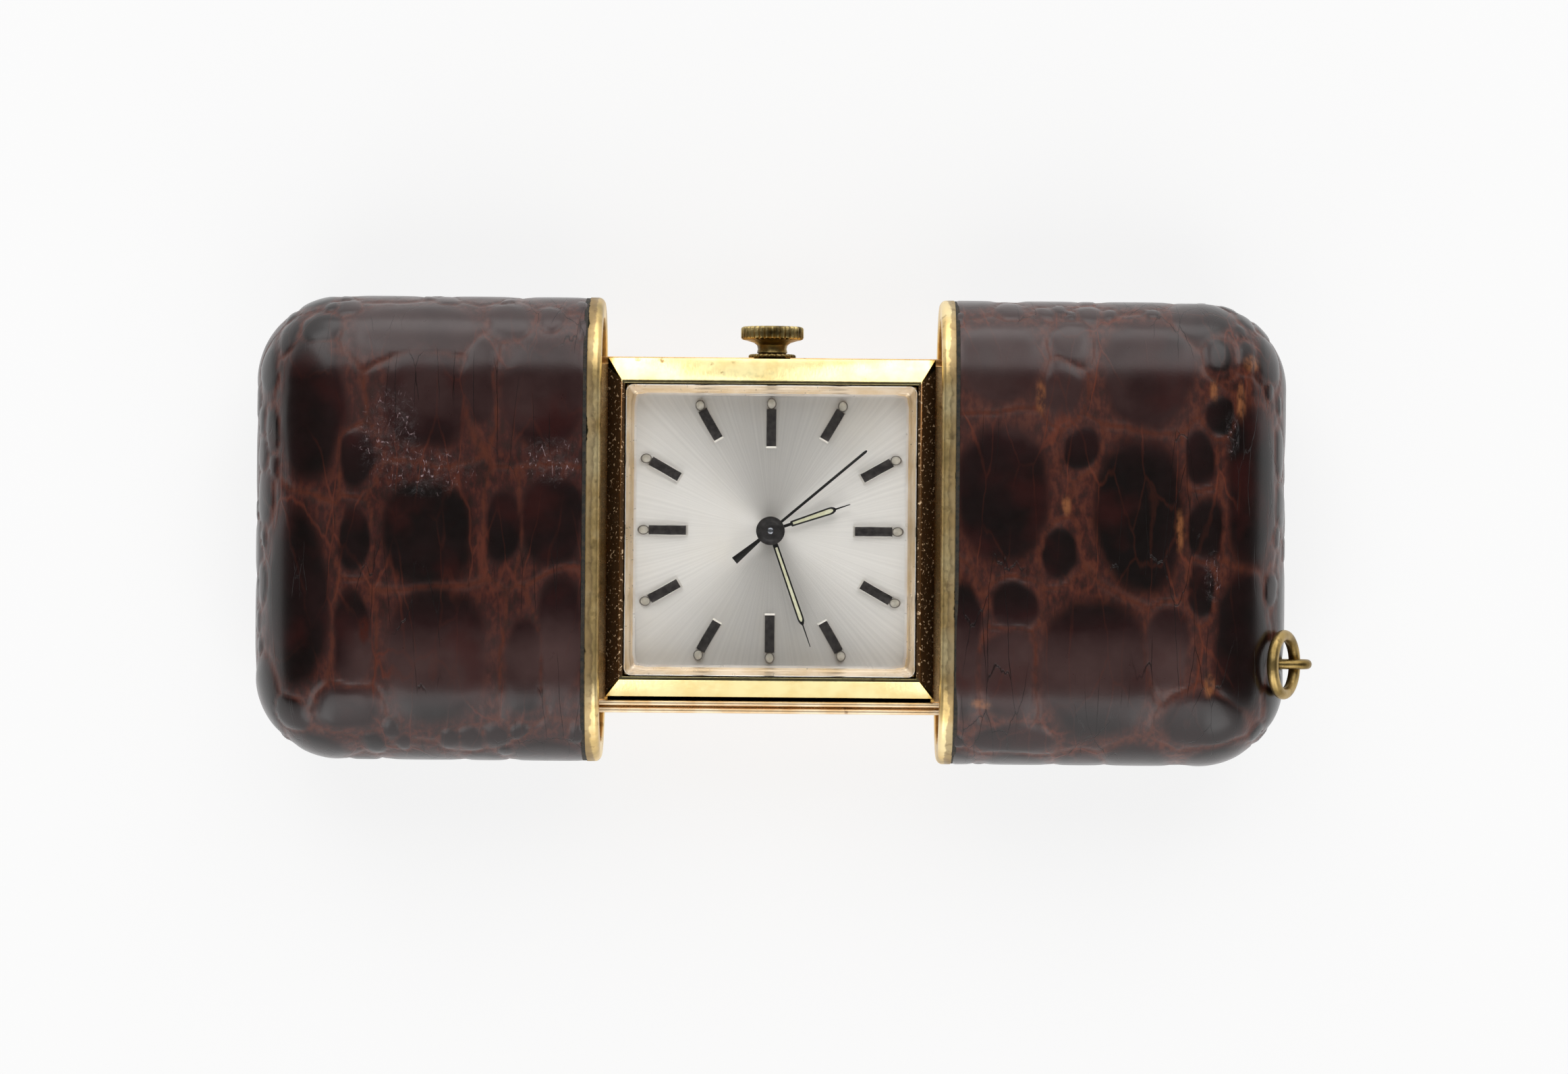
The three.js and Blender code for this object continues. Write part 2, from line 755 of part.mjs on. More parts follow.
function placeHand(name, solid, angle) {
  const hand = addPiece(name, toGeometry(solid), blackHand);
  hand.rotation.z = -THREE.MathUtils.degToRad(angle);
}

function barHand({ length, width, shoulder, tip }, bottom) {
  const half = width / 2;
  const blade = polygon([
    [-half, handHub - handRoot], [half, handHub - handRoot], [half, shoulder - shoulderTaper],
    [tip / 2, shoulder], [tip / 2, length], [-tip / 2, length], [-tip / 2, shoulder],
    [-half, shoulder - shoulderTaper],
  ]);
  return extrude(blade, bottom, bottom + handThickness);
}

function buildHands() {
  const hourHub = handHubRing(hourHubBore, hourHandZ);
  const minuteHub = handHubRing(cannonTube + tubeGap, minuteHandZ);
  placeHand('hour_hand', joined([hourHub, barHand(hourHand, hourHandZ)]), hourAngle);
  placeHand('minute_hand', joined([minuteHub, barHand(minuteHand, minuteHandZ)]), minuteAngle);

  const { length, width, tip, tail, tailWidth } = secondsHand;
  const needle = polygon([
    [-tailWidth / 2, -tail], [tailWidth / 2, -tail], [width / 2, -handHub],
    [width / 2, 0], [tip / 2, length], [-tip / 2, length], [-width / 2, 0],
    [-width / 2, -handHub],
  ]);
  const top = secondsHandZ + handThickness;
  const hub = cylinderZ(new THREE.Vector2(), handHub, secondsHandZ, top, hubSides);
  placeHand('seconds_hand', joined([hub, extrude(needle, secondsHandZ, top)]), secondsAngle);
}

// Wheels: a gear is its centre, tooth count, pitch radius and the angle of one tooth

function gear(place, teeth, pitchRadius, phase = 0) {
  return { place, teeth, pitchRadius, phase };
}

function meshed(driver, place, teeth, pitchRadius) {
  const towards = Math.atan2(place.y - driver.place.y, place.x - driver.place.x);
  const halfPitch = Math.PI * pitchRadius / teeth;
  const offset = (driver.pitchRadius * (driver.phase - towards) + halfPitch) / pitchRadius;
  return gear(place, teeth, pitchRadius, towards + Math.PI - offset);
}

function toothedShape({ teeth, pitchRadius, phase, place }) {
  const toothModule = 2 * pitchRadius / teeth;
  const tip = pitchRadius + addendum * toothModule;
  const root = pitchRadius - dedendum * toothModule;
  const points = [];
  for (let tooth = 0; tooth < teeth; tooth += 1) {
    const angle = phase + tooth * 2 * Math.PI / teeth;
    const gap = angle + Math.PI / teeth;
    points.push([place.x + tip * Math.cos(angle), place.y + tip * Math.sin(angle)]);
    points.push([place.x + root * Math.cos(gap), place.y + root * Math.sin(gap)]);
  }
  return polygon(points);
}

function toothed(wheel, bottom, height) {
  return extrude(toothedShape(wheel), bottom, bottom + height);
}

function pitchOf(teeth, toothModule) {
  return teeth * toothModule / 2;
}

const centre = new THREE.Vector2();
const barrelPlace = polar(pitchOf(barrelTeeth + centrePinionTeeth, barrelModule), barrelDirection);
const thirdDistance = pitchOf(thirdWheelTeeth + fourthPinionTeeth, thirdModule);
const centreModule = 2 * thirdDistance / (centreWheelTeeth + thirdPinionTeeth);
const thirdPlace = polar(thirdDistance, thirdDirection);
const escapePlace = polar(pitchOf(fourthWheelTeeth + escapePinionTeeth, escapeModule), escapeDirection);
const balancePlace = polar(balanceOffset, balanceDirection);
const minuteWheelDistance = pitchOf(cannonTeeth + minuteWheelTeeth, motionModule);
const hourModule = 2 * minuteWheelDistance / (minutePinionTeeth + hourWheelTeeth);
const minuteWheelPlace = polar(minuteWheelDistance, minuteWheelDirection);
const crownWheelPlace = new THREE.Vector2(0, plateRadius - crownWheelInset);
const windingDistance = crownWheelPlace.distanceTo(barrelPlace);
const windingModule = 2 * windingDistance / (ratchetTeeth + crownWheelTeeth);

const windingPinionTip = 1.55;
const windingPinionLength = 1.1;
const windingPinionOffset = 1.3;
const windingPinionStart = crownWheelPlace.y + windingPinionOffset;
const stemStart = windingPinionStart - seatGap;
const stemZ = ratchetZ + wheelThickness + wheelGap + windingPinionTip;

const centrePinion = gear(centre, centrePinionTeeth, pitchOf(centrePinionTeeth, barrelModule));
const barrelGear = meshed(centrePinion, barrelPlace, barrelTeeth, pitchOf(barrelTeeth, barrelModule));
const centreGear = gear(centre, centreWheelTeeth, pitchOf(centreWheelTeeth, centreModule));
const thirdPinion = meshed(
  centreGear, thirdPlace, thirdPinionTeeth, pitchOf(thirdPinionTeeth, centreModule),
);
const thirdGear = gear(thirdPlace, thirdWheelTeeth, pitchOf(thirdWheelTeeth, thirdModule));
const fourthPinion = meshed(thirdGear, centre, fourthPinionTeeth, pitchOf(fourthPinionTeeth, thirdModule));
const fourthGear = gear(centre, fourthWheelTeeth, pitchOf(fourthWheelTeeth, escapeModule));
const escapePinion = meshed(
  fourthGear, escapePlace, escapePinionTeeth, pitchOf(escapePinionTeeth, escapeModule),
);
const cannonGear = gear(centre, cannonTeeth, pitchOf(cannonTeeth, motionModule));
const minuteGear = meshed(
  cannonGear, minuteWheelPlace, minuteWheelTeeth, pitchOf(minuteWheelTeeth, motionModule),
);
const minutePinion = gear(minuteWheelPlace, minutePinionTeeth, pitchOf(minutePinionTeeth, hourModule));
const hourGear = meshed(minutePinion, centre, hourWheelTeeth, pitchOf(hourWheelTeeth, hourModule));
const ratchetGear = gear(barrelPlace, ratchetTeeth, pitchOf(ratchetTeeth, windingModule));
const crownGear = meshed(
  ratchetGear, crownWheelPlace, crownWheelTeeth, pitchOf(crownWheelTeeth, windingModule),
);

// The meeting point of two links of known length, on the right of the line from a to b

function linkPoint(a, b, fromA, fromB) {
  const line = b.clone().sub(a);
  const distance = line.length();
  const along = (fromA ** 2 - fromB ** 2 + distance ** 2) / (2 * distance);
  const across = Math.sqrt(fromA ** 2 - along ** 2);
  const unit = line.normalize();
  return new THREE.Vector2(
    a.x + along * unit.x - across * unit.y,
    a.y + along * unit.y + across * unit.x,
  );
}

const palletPlace = linkPoint(escapePlace, balancePlace, escapeToPallet, palletToBalance);

// Places of the bridge feet on the main plate
const footInset = 1.2;
const trainFootInset = 2.2;
const barrelFoot = polar(plateRadius - footInset, 184);
const crownFoot = polar(plateRadius - footInset, 60);
const trainFoot = polar(plateRadius - trainFootInset, 31);
const trainLowerFoot = polar(plateRadius - footInset, -52.5);
const cockFoot = polar(plateRadius - footInset, -75);
const palletFoot = polar(plateRadius - footInset, -93);
const footRadius = 1.0;
const palletFootRadius = 0.6;
const palletBarRadius = 0.5;
const palletBarThickness = 0.15;
const clickOffset = 1.45;
const clickNoseOffset = 0.5;
const clickRadius = 0.25;
const clickPlace = polar(ratchetGear.pitchRadius + clickOffset, 219.6, barrelPlace);
const clickNose = polar(ratchetGear.pitchRadius + clickNoseOffset, 233.6, barrelPlace);

const spiralSteps = 12;
const spiralTurns = 4;
const pivotInset = 0.2;
const pivotDepth = 0.6;
const studRise = 0.3;
const lowerPivot = bridgeBottom + pivotInset;
const upperPivot = plateBottom + pivotDepth;

function pivotHole(place, radius, bottom, top) {
  return cylinderZ(place, radius + pivotGap, bottom - cutOverrun, top + cutOverrun, holeSides);
}

function buildPlate() {
  const disc = cylinderZ(centre, plateRadius, plateBottom, plateTop, plateSides);
  const stud = cylinderZ(
    minuteWheelPlace, arborRadius, plateTop - pivotInset, hourWheelZ + studRise, pinSides,
  );
  const stemCutHalf = windingPinionTip + seatGap;
  const stemCut = box(
    -stemCutHalf, stemCutHalf, stemStart - plateHeadroom, plateRadius + cutOverrun,
    plateBottom - cutOverrun, stemZ + windingPinionTip + plateHeadroom,
  );
  const holes = [
    pivotHole(centre, centreTube, plateBottom, plateTop),
    ...[thirdPlace, escapePlace, palletPlace, balancePlace].map(
      (place) => pivotHole(place, arborRadius, plateBottom, plateTop),
    ),
    pivotHole(barrelPlace, barrelArbor, plateBottom, plateTop),
  ];
  addPiece('main_plate', toGeometry(cut(joined([disc, stud]), [stemCut, ...holes])), nickel);

  const ringHalf = caseInner - closeGap;
  const ring = polygon([
    [-ringHalf, -ringHalf], [ringHalf, -ringHalf], [ringHalf, ringHalf], [-ringHalf, ringHalf],
  ]);
  const bore = new THREE.Path();
  bore.absarc(0, 0, plateRadius + closeGap, 0, 2 * Math.PI, true);
  ring.holes.push(bore);
  const tubeSlotHalf = stemTubeRadius + seatGap;
  const slot = box(
    -tubeSlotHalf, tubeSlotHalf, plateRadius - cutOverrun, caseInner + cutOverrun,
    plateBottom - cutOverrun, stemZ + tubeSlotHalf,
  );
  const holder = extrude(ring, plateBottom + plateHeadroom, dialBottom - restGap, 18);
  addPiece('movement_ring', toGeometry(cut(toSolid(holder), [slot])), brass);
}

function bridge(name, bars, feet, holes) {
  const pieces = bars.map(([from, to, radius]) => capsule(from, to, radius, bridgeBottom, bridgeTop));
  feet.forEach((foot) => {
    pieces.push(cylinderZ(foot, footRadius, bridgeBottom, plateBottom - restGap, holeSides));
  });
  const cuts = holes.map(([place, radius]) => pivotHole(place, radius, bridgeBottom, bridgeTop));
  addPiece(name, toGeometry(cut(joined(pieces), cuts)), nickel);
}

function buildBridges() {
  bridge(
    'barrel_bridge',
    [[barrelFoot, barrelPlace, 1.3], [barrelPlace, crownWheelPlace, 1.4],
      [crownWheelPlace, crownFoot, 1.1]],
    [barrelFoot, crownFoot],
    [[barrelPlace, barrelArbor], [crownWheelPlace, arborRadius], [clickPlace, arborRadius]],
  );
  bridge(
    'train_bridge',
    [[trainFoot, centre, 1.0], [centre, escapePlace, 0.9], [centre, thirdPlace, 1.0],
      [thirdPlace, trainLowerFoot, 1.0]],
    [trainFoot, trainLowerFoot],
    [[centre, arborRadius], [thirdPlace, arborRadius], [escapePlace, arborRadius]],
  );
  bridge(
    'balance_cock',
    [[cockFoot, balancePlace, 0.9]],
    [cockFoot],
    [[balancePlace, arborRadius]],
  );
  const palletTop = escapeWheelZ - restGap;
  const palletBottom = palletTop - palletBarThickness;
  const bar = capsule(palletFoot, palletPlace, palletBarRadius, palletBottom, palletTop);
  const foot = cylinderZ(
    palletFoot, palletFootRadius, palletBottom, plateBottom - restGap, holeSides,
  );
  const hole = pivotHole(palletPlace, forkArbor, palletBottom, palletTop);
  addPiece('pallet_bridge', toGeometry(cut(joined([bar, foot]), [hole])), nickel);
}

function arborWheel(name, arbor, wheel, wheelZ, pinion, pinionZ, material) {
  const pieces = [
    cylinderZ(wheel.place, arbor, lowerPivot, upperPivot, pinSides),
    toothed(wheel, wheelZ, wheelThickness),
    toothed(pinion, pinionZ, pinionHeight),
  ];
  addPiece(name, toGeometry(joined(pieces)), material);
}

function spiralRibbon(place, innerRadius, outerRadius, turns, thickness, bottom, top) {
  const steps = turns * spiralSteps;
  const side = (offset) => Array.from({ length: steps + 1 }, (_, step) => {
    const radius = innerRadius + (outerRadius - innerRadius) * step / steps + offset;
    const angle = step / spiralSteps * 2 * Math.PI;
    return [place.x + radius * Math.cos(angle), place.y + radius * Math.sin(angle)];
  });
  return extrude(polygon([...side(thickness / 2), ...side(-thickness / 2).reverse()]), bottom, top);
}

function buildTrain() {
  const drumRadius = barrelGear.pitchRadius - drumInset;
  const drumInner = drumRadius - drumWall;
  const drumFloorZ = drumBottom + drumHeight;
  const barrel = cut(
    joined([
      cylinderZ(barrelPlace, drumRadius, drumBottom, drumTop, drumSides),
      toothed(barrelGear, barrelTeethZ, barrelTeethHeight),
    ]),
    [
      cylinderZ(barrelPlace, drumInner, drumBottom - cutOverrun, drumFloorZ, drumSides),
      pivotHole(barrelPlace, barrelArbor, drumBottom, drumTop),
    ],
  );
  addPiece('barrel', toGeometry(barrel), brass);
  const spring = spiralRibbon(
    barrelPlace, barrelArbor + mainspringCoreGap, drumInner - mainspringEdgeGap, spiralTurns,
    mainspringThickness, drumBottom + closeGap, drumFloorZ - closeGap,
  );
  addPiece('mainspring', spring, steel);

  const ratchet = [
    toothed(ratchetGear, ratchetZ, wheelThickness),
    cylinderZ(barrelPlace, barrelArbor, lowerPivot, upperPivot, holeSides),
  ];
  addPiece('ratchet_wheel', toGeometry(joined(ratchet)), steel);
  const winder = [
    toothed(crownGear, ratchetZ, wheelThickness),
    cylinderZ(crownWheelPlace, arborRadius, lowerPivot, ratchetZ + weldDepth, pinSides),
  ];
  addPiece('crown_wheel', toGeometry(joined(winder)), steel);

  const click = [
    capsule(clickPlace, clickNose, clickRadius, ratchetZ, ratchetZ + wheelThickness),
    cylinderZ(clickPlace, arborRadius, lowerPivot, ratchetZ + weldDepth, pinSides),
  ];
  addPiece('click', toGeometry(joined(click)), steel);

  const centreWheel = cut(
    joined([
      toothed(centreGear, centreWheelZ, wheelThickness),
      toothed(centrePinion, barrelTeethZ - restGap, barrelTeethHeight + 2 * restGap),
      cylinderZ(
        centre, centreTube, barrelTeethZ - weldDepth, minuteHandZ - secondsHandGap, tubeSides,
      ),
    ]),
    [cylinderZ(
      centre, centreTubeBore, barrelTeethZ - cutOverrun, minuteHandZ + cutOverrun, tubeSides,
    )],
  );
  addPiece('centre_wheel', toGeometry(centreWheel), brass);
  arborWheel(
    'third_wheel', arborRadius, thirdGear, thirdWheelZ, thirdPinion, centreWheelZ - restGap, brass,
  );

  const fourth = [
    cylinderZ(centre, secondsArbor, lowerPivot, secondsHandZ - restGap, holeSides),
    toothed(fourthGear, fourthWheelZ, wheelThickness),
    toothed(fourthPinion, thirdWheelZ - restGap, pinionHeight),
  ];
  addPiece('fourth_wheel', toGeometry(joined(fourth)), brass);

  const escape = gear(escapePlace, escapeTeeth, escapeRadius - escapeToothDepth, escapePhase);
  arborWheel(
    'escape_wheel', escapeArbor, escape, escapeWheelZ, escapePinion, fourthWheelZ - restGap, steel,
  );
}

function buildEscapement() {
  const toEscape = escapePlace.clone().sub(palletPlace).angle();
  const toBalance = balancePlace.clone().sub(palletPlace).angle();
  const degrees = THREE.MathUtils.radToDeg;
  const forkTop = escapeWheelZ + wheelThickness;
  const arm = (angle, length, radius) => capsule(
    palletPlace, polar(length, angle, palletPlace), radius, escapeWheelZ, forkTop,
  );
  const fork = [
    cylinderZ(palletPlace, forkArbor, escapeWheelZ - pivotInset, upperPivot, pinSides),
    arm(degrees(toEscape) + forkHalfSpread, palletArm, palletArmHalf),
    arm(degrees(toEscape) - forkHalfSpread, palletArm, palletArmHalf),
    arm(degrees(toBalance), palletToBalance - leverToBalance, leverArmHalf),
  ];
  addPiece('pallet_fork', toGeometry(joined(fork)), steel);

  const rim = new THREE.Shape();
  rim.absarc(balancePlace.x, balancePlace.y, balanceRadius, 0, 2 * Math.PI, false);
  const rimHole = new THREE.Path();
  const rimInner = balanceRadius - balanceRimWidth;
  rimHole.absarc(balancePlace.x, balancePlace.y, rimInner, 0, 2 * Math.PI, true);
  rim.holes.push(rimHole);
  const rimTop = balanceRimZ + balanceRimHeight;
  const armEnds = [0, 180].map((angle) => polar(rimInner + weldDepth, angle, balancePlace));
  const rollerPin = polar(rollerPinOffset, degrees(toBalance) + 180, balancePlace);
  const rollerTop = escapeWheelZ - closeGap;
  const balance = [
    extrude(rim, balanceRimZ, rimTop, 18),
    capsule(armEnds[0], armEnds[1], balanceArmHalf, balanceRimZ + restGap, rimTop - restGap),
    cylinderZ(balancePlace, balanceHub, balanceRimZ, rimTop, holeSides),
    cylinderZ(balancePlace, balanceArbor, lowerPivot, upperPivot, pinSides),
    cylinderZ(balancePlace, rollerRadius, rollerTop - rollerThickness, rollerTop, tubeSides),
    cylinderZ(
      rollerPin, rollerPinRadius, escapeWheelZ - rollerPinHalf, escapeWheelZ + rollerPinHalf, 8,
    ),
  ];
  addPiece('balance_wheel', toGeometry(joined(balance)), brass);
  const hairBottom = fourthWheelZ + restGap;
  const hair = spiralRibbon(
    balancePlace, hairspringInner, hairspringOuter, spiralTurns, hairspringThickness,
    hairBottom, hairBottom + hairspringHeight,
  );
  addPiece('hairspring', hair, steel);
}

function buildMotionWork() {
  const cannon = cut(
    joined([
      toothed(cannonGear, minuteWheelZ, wheelThickness),
      cylinderZ(
        centre, cannonTube, minuteWheelZ - weldDepth, minuteHandZ + handThickness, tubeSides,
      ),
    ]),
    [cylinderZ(centre, cannonBore, minuteWheelZ - cutOverrun, secondsHandZ + cutOverrun, tubeSides)],
  );
  addPiece('cannon_pinion', toGeometry(cannon), steel);
  const hour = cut(
    joined([
      toothed(hourGear, hourWheelZ, wheelThickness),
      cylinderZ(centre, hourTube, hourWheelZ - restGap, hourHandZ + handThickness, tubeSides),
    ]),
    [cylinderZ(centre, hourTubeBore, hourWheelZ - cutOverrun, secondsHandZ + cutOverrun, tubeSides)],
  );
  addPiece('hour_wheel', toGeometry(hour), brass);
  const minutePinionBottom = minuteWheelZ + weldDepth;
  const minutePinionHeight = hourWheelZ + wheelThickness - minutePinionBottom;
  const minute = cut(
    joined([
      toothed(minuteGear, minuteWheelZ, wheelThickness),
      toothed(minutePinion, minutePinionBottom, minutePinionHeight),
    ]),
    [pivotHole(minuteWheelPlace, arborRadius, minuteWheelZ, hourWheelZ)],
  );
  addPiece('minute_wheel', toGeometry(minute), brass);
}

// Crown, stem and stem tube, turned about the stem axis

function buildCrown() {
  const crownShape = polygon(Array.from({ length: 2 * crownTeeth }, (_, step) => {
    const angle = step * Math.PI / crownTeeth;
    const radius = step % 2 ? crownRadius - crownToothDepth : crownRadius;
    return [radius * Math.cos(angle), radius * Math.sin(angle)];
  }));
  const head = new THREE.ExtrudeGeometry(crownShape, {
    depth: crownThickness - 2 * crownBevelHeight, bevelThickness: crownBevelHeight,
    bevelSize: crownBevelWidth, bevelOffset: -crownBevelWidth, bevelSegments: 1,
  });
  head.rotateX(-Math.PI / 2).translate(0, crownBase + crownBevelHeight, stemZ);
  const neck = cylinderY(0, stemZ, neckRadius, crownNeckBase, crownBase + neckRoot, hubSides);
  const stemEnd = crownBase + stemRoot;
  const bore = cylinderY(
    0, stemZ, stemRadius + pivotGap, crownNeckBase - cutOverrun, stemEnd + closeGap,
  );
  addPiece('crown', toGeometry(cut(joined([head, neck]), [bore])), agedBrass);

  const pinion = {
    place: centre, teeth: windingPinionTeeth, phase: 0,
    pitchRadius: windingPinionTip / (1 + 2 * addendum / windingPinionTeeth),
  };
  const teeth = toothed(pinion, windingPinionStart, windingPinionLength)
    .rotateX(-Math.PI / 2).translate(0, 0, stemZ);
  const stem = cylinderY(0, stemZ, stemRadius, stemStart, stemEnd);
  addPiece('winding_stem', toGeometry(joined([stem, teeth])), steel);

  const tube = cut(
    joined([
      cylinderY(0, stemZ, stemTubeRadius, caseInner - stemTubeRoot, collarTop, hubSides),
      cylinderY(0, stemZ, collarRadius, collarBase, collarTop, drumSides),
    ]),
    [cylinderY(0, stemZ, stemTubeBore, caseInner - cutOverrun, collarTop + cutOverrun)],
  );
  addPiece('stem_tube', toGeometry(tube), agedBrass);
}

buildShell(-1, 'left');
buildShell(1, 'right');
buildLanyard();
buildCarrier();
bowSpring(-1, 'left');
bowSpring(1, 'right');
buildCase();
buildBezel();
buildDial();
buildHands();
buildPlate();
buildBridges();
buildTrain();
buildEscapement();
buildMotionWork();
buildCrown();

export default assembly;
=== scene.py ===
"""Looks of a travel watch with two sliding leather-covered shells, built around its CAD frame.

Lengths are in metres, apart from the tables and sections that say millimetres. The tables of
scales, patches and hands start from the dial's centre.
"""

import json
import math
import random

import bmesh
import bpy
import numpy as np
from mathutils import Matrix, Vector, noise


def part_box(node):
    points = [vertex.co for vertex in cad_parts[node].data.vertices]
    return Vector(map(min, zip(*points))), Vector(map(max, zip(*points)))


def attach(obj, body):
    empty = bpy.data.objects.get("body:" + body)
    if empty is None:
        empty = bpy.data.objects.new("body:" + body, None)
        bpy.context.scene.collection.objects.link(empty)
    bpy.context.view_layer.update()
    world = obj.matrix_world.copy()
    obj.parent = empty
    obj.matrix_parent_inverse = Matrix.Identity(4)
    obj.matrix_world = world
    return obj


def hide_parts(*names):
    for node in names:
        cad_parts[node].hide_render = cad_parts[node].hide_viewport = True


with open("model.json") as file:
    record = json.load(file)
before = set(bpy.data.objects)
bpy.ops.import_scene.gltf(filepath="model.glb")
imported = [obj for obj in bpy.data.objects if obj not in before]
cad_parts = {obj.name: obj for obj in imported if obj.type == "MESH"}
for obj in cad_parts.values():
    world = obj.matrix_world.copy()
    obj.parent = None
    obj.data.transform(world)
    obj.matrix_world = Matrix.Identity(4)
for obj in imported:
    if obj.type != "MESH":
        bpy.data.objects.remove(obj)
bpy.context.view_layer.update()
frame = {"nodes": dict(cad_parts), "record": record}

MM = 0.001

# Shell skin, as in the part's source
EDGE_RADIUS = 6.4 * MM
LEATHER = 0.9 * MM
SHELL_WALL = 1.4 * MM
RIM_EDGE = 0.12 * MM
RIM_INNER_EDGE = 0.4 * MM

# Seam between rim and leather
SEAM_DEPTH = 0.05 * MM
SEAM_THICKNESS = 0.4 * MM
SEAM_UNDER_RIM = 0.02 * MM
SEAM_UNDER_LEATHER = 0.25 * MM

# Leather relief
GROOVE_DEPTH = 0.05 * MM
CREASE_DEPTH = 0.06 * MM
SCALE_DOME = 0.03 * MM
MOUTH_ROLL = 0.05 * MM
MOUTH_ROLL_LENGTH = 0.2 * MM
WRINKLE_HEIGHT = 0.035 * MM
WARP = 0.5 * MM
WARP_BROAD = 260
WARP_FINE = 900
WARP_FINE_SHARE = 0.35
# Seeds Blender's own noise, whose vectors otherwise differ in each run
WARP_SEED = 1795744979
WRINKLE_SCALE = (1500, 420, 900)
SCALE_EDGE_START = 0.78
SCALE_EDGE_END = 1.3
SCALE_SQUARENESS = 2.4
SCALE_THICKNESS = 1.6
CREASE_WIDTH = 0.2
LEG_DIMPLE = 0.2 * MM
LEG_DIMPLE_RADIUS = 0.5 * MM

# Large scales of each shell's top, in millimetres: centre x, y and half sizes x, y
LEFT_SCALES = [
    (-33.4, 8.6, 2.4, 4.9), (-34.1, -5.1, 2.5, 6.2), (-26.1, 14.6, 4.2, 2.4),
    (-25.1, 9.2, 2.8, 3.3), (-16.4, 10.1, 3.0, 3.9), (-21.0, 10.5, 1.1, 3.1),
    (-24.5, -0.3, 3.1, 3.7), (-29.9, -0.9, 1.0, 2.4), (-19.1, 0.2, 1.2, 2.5),
    (-15.5, 0.6, 2.0, 3.1), (-23.8, -9.3, 3.4, 4.7), (-29.8, -8.0, 1.3, 3.1),
    (-17.7, -10.2, 1.2, 3.5), (-15.1, -7.5, 1.4, 4.2), (-29.8, 5.0, 1.0, 2.0),
    (-32.9, 14.5, 1.3, 1.3), (-30.3, -13.0, 1.9, 1.6), (-34.7, -13.5, 1.3, 1.3),
    (-19.0, 15.2, 1.3, 1.8),
]
RIGHT_SCALES = [
    (16.4, 12.5, 2.9, 2.8), (21.6, 14.2, 1.3, 1.5), (21.0, 10.4, 1.1, 1.7),
    (27.3, 11.6, 3.1, 3.7), (16.8, 2.9, 3.1, 4.8), (22.3, 6.2, 1.2, 1.5),
    (20.9, -1.4, 1.0, 1.6), (26.4, 1.3, 3.0, 5.4), (35.0, 3.3, 2.2, 5.6),
    (30.9, 5.5, 1.0, 2.0), (31.2, 0.2, 1.2, 2.2), (34.3, -7.6, 2.2, 5.1),
    (31.1, -4.1, 0.9, 1.8), (23.5, -9.9, 3.6, 5.0), (17.8, -5.4, 1.7, 1.7),
    (17.1, -10.5, 1.8, 2.9), (13.8, -8.3, 1.1, 4.9), (28.5, -8.3, 1.6, 2.9),
    (32.1, 8.4, 1.0, 1.2), (32.3, 12.9, 1.0, 1.3), (31.6, -13.9, 2.9, 2.0),
    (17.8, -15.0, 2.7, 1.3),
]
# Crinkled patches, which also carry painted glints, and worn spots of the tops, in millimetres:
# centre x, y and radii x, y
LEFT_CRINKLES_AND_GLINTS = [(-27.5, 6.5, 2.2, 3.4), (-25.0, 4.0, 3.5, 1.6), (-15.8, 4.9, 2.2, 1.6)]
RIGHT_CRINKLES_AND_GLINTS = [(33.2, 7.2, 0.5, 1.6), (31.9, -3.0, 0.6, 1.8)]
LEFT_WORN = [(-29.2, -7.4, 0.4, 1.0)]
RIGHT_WORN = [
    (21.3, 2.0, 0.32, 0.7), (29.5, 0.2, 0.3, 1.5), (19.4, 9.8, 0.3, 1.2),
    (34.7, 12.4, 0.6, 0.6), (31.7, -10.9, 0.35, 0.9), (15.3, -12.4, 0.7, 0.35),
    (31.9, 10.4, 0.3, 0.8), (33.9, 9.6, 0.3, 1.4),
]
PATCH_START = 0.5
PATCH_END = 1.3
# Half sizes in millimetres and tries of the scales that fill the sides and the back
FILL_SIZES = [(2.4, 3.3, 500), (1.5, 2.2, 900), (0.9, 1.4, 1500), (0.5, 0.8, 2500)]
FILL_SPREAD = (0.75, 1.15)
FILL_APART = 1.35
FILL_CLEARANCE = 1.1
# A normal's least Z on a shell's top without its rounded edges, and on its upper half
TOP_NORMAL = 0.8
UPPER_NORMAL = 0.05
# Stands for a distance past every scale and patch
FAR = 9.0
# Paler bands of painted sheen along a shell's top, and a darker band where the lower sheen fades:
# strength, start and end in millimetres
UPPER_PAINTED_SHEEN = (0.5, 4.0, 9.0)
LOWER_PAINTED_SHEEN = (0.75, 4.0, 9.5)
LOWER_SHEEN_FADE = (0.8, 11.0, 13.5)
# Where the painted sheen fades and the top darkens towards the closed end, in millimetres
END_SHEEN_FADE = (29.5, 33.0)
# The most that one scale is paler than another
OWN_TONE = 0.2

# Steps of a skin round its section (flats, corners, sides) and along it (straight, bend, end)
RING_STEPS = (96, 44, 8)
SKIN_STEPS = (84, 44, 6)
INNER_STEPS = (12, 10, 2)
RIM_RING_STEPS = (40, 24, 4)
ROUND_STEPS = 5

# Hands: degrees from 12 o'clock, then half widths and places along the hand in millimetres
HOUR_ANGLE = 71.2
MINUTE_ANGLE = 160.6
SECONDS_ANGLE = 49.8
HOUR_BLADE = [
    (0.11, 0.9), (0.11, 1.54), (0.21, 1.6), (0.275, 4.55), (0.25, 4.75), (0.17, 4.92), (0.06, 5.02),
    (0.035, 6.1),
]
HOUR_LUME = [(0.09, 1.72), (0.155, 4.5), (0.13, 4.66), (0.06, 4.78), (0, 4.8)]
MINUTE_BLADE = [
    (0.19, 0.9), (0.2, 1.2), (0.235, 6.75), (0.21, 6.95), (0.13, 7.13), (0.05, 7.25), (0.03, 8.9),
]
MINUTE_LUME = [(0.085, 1.28), (0.12, 6.7), (0.1, 6.84), (0.05, 6.95), (0, 6.97)]
SECONDS_BLADE = [(0.29, -3.4), (0.12, -0.9), (0.1, 0.9), (0.1, 8.95), (0.05, 9.1)]
HUB_RADIUS = 1.04
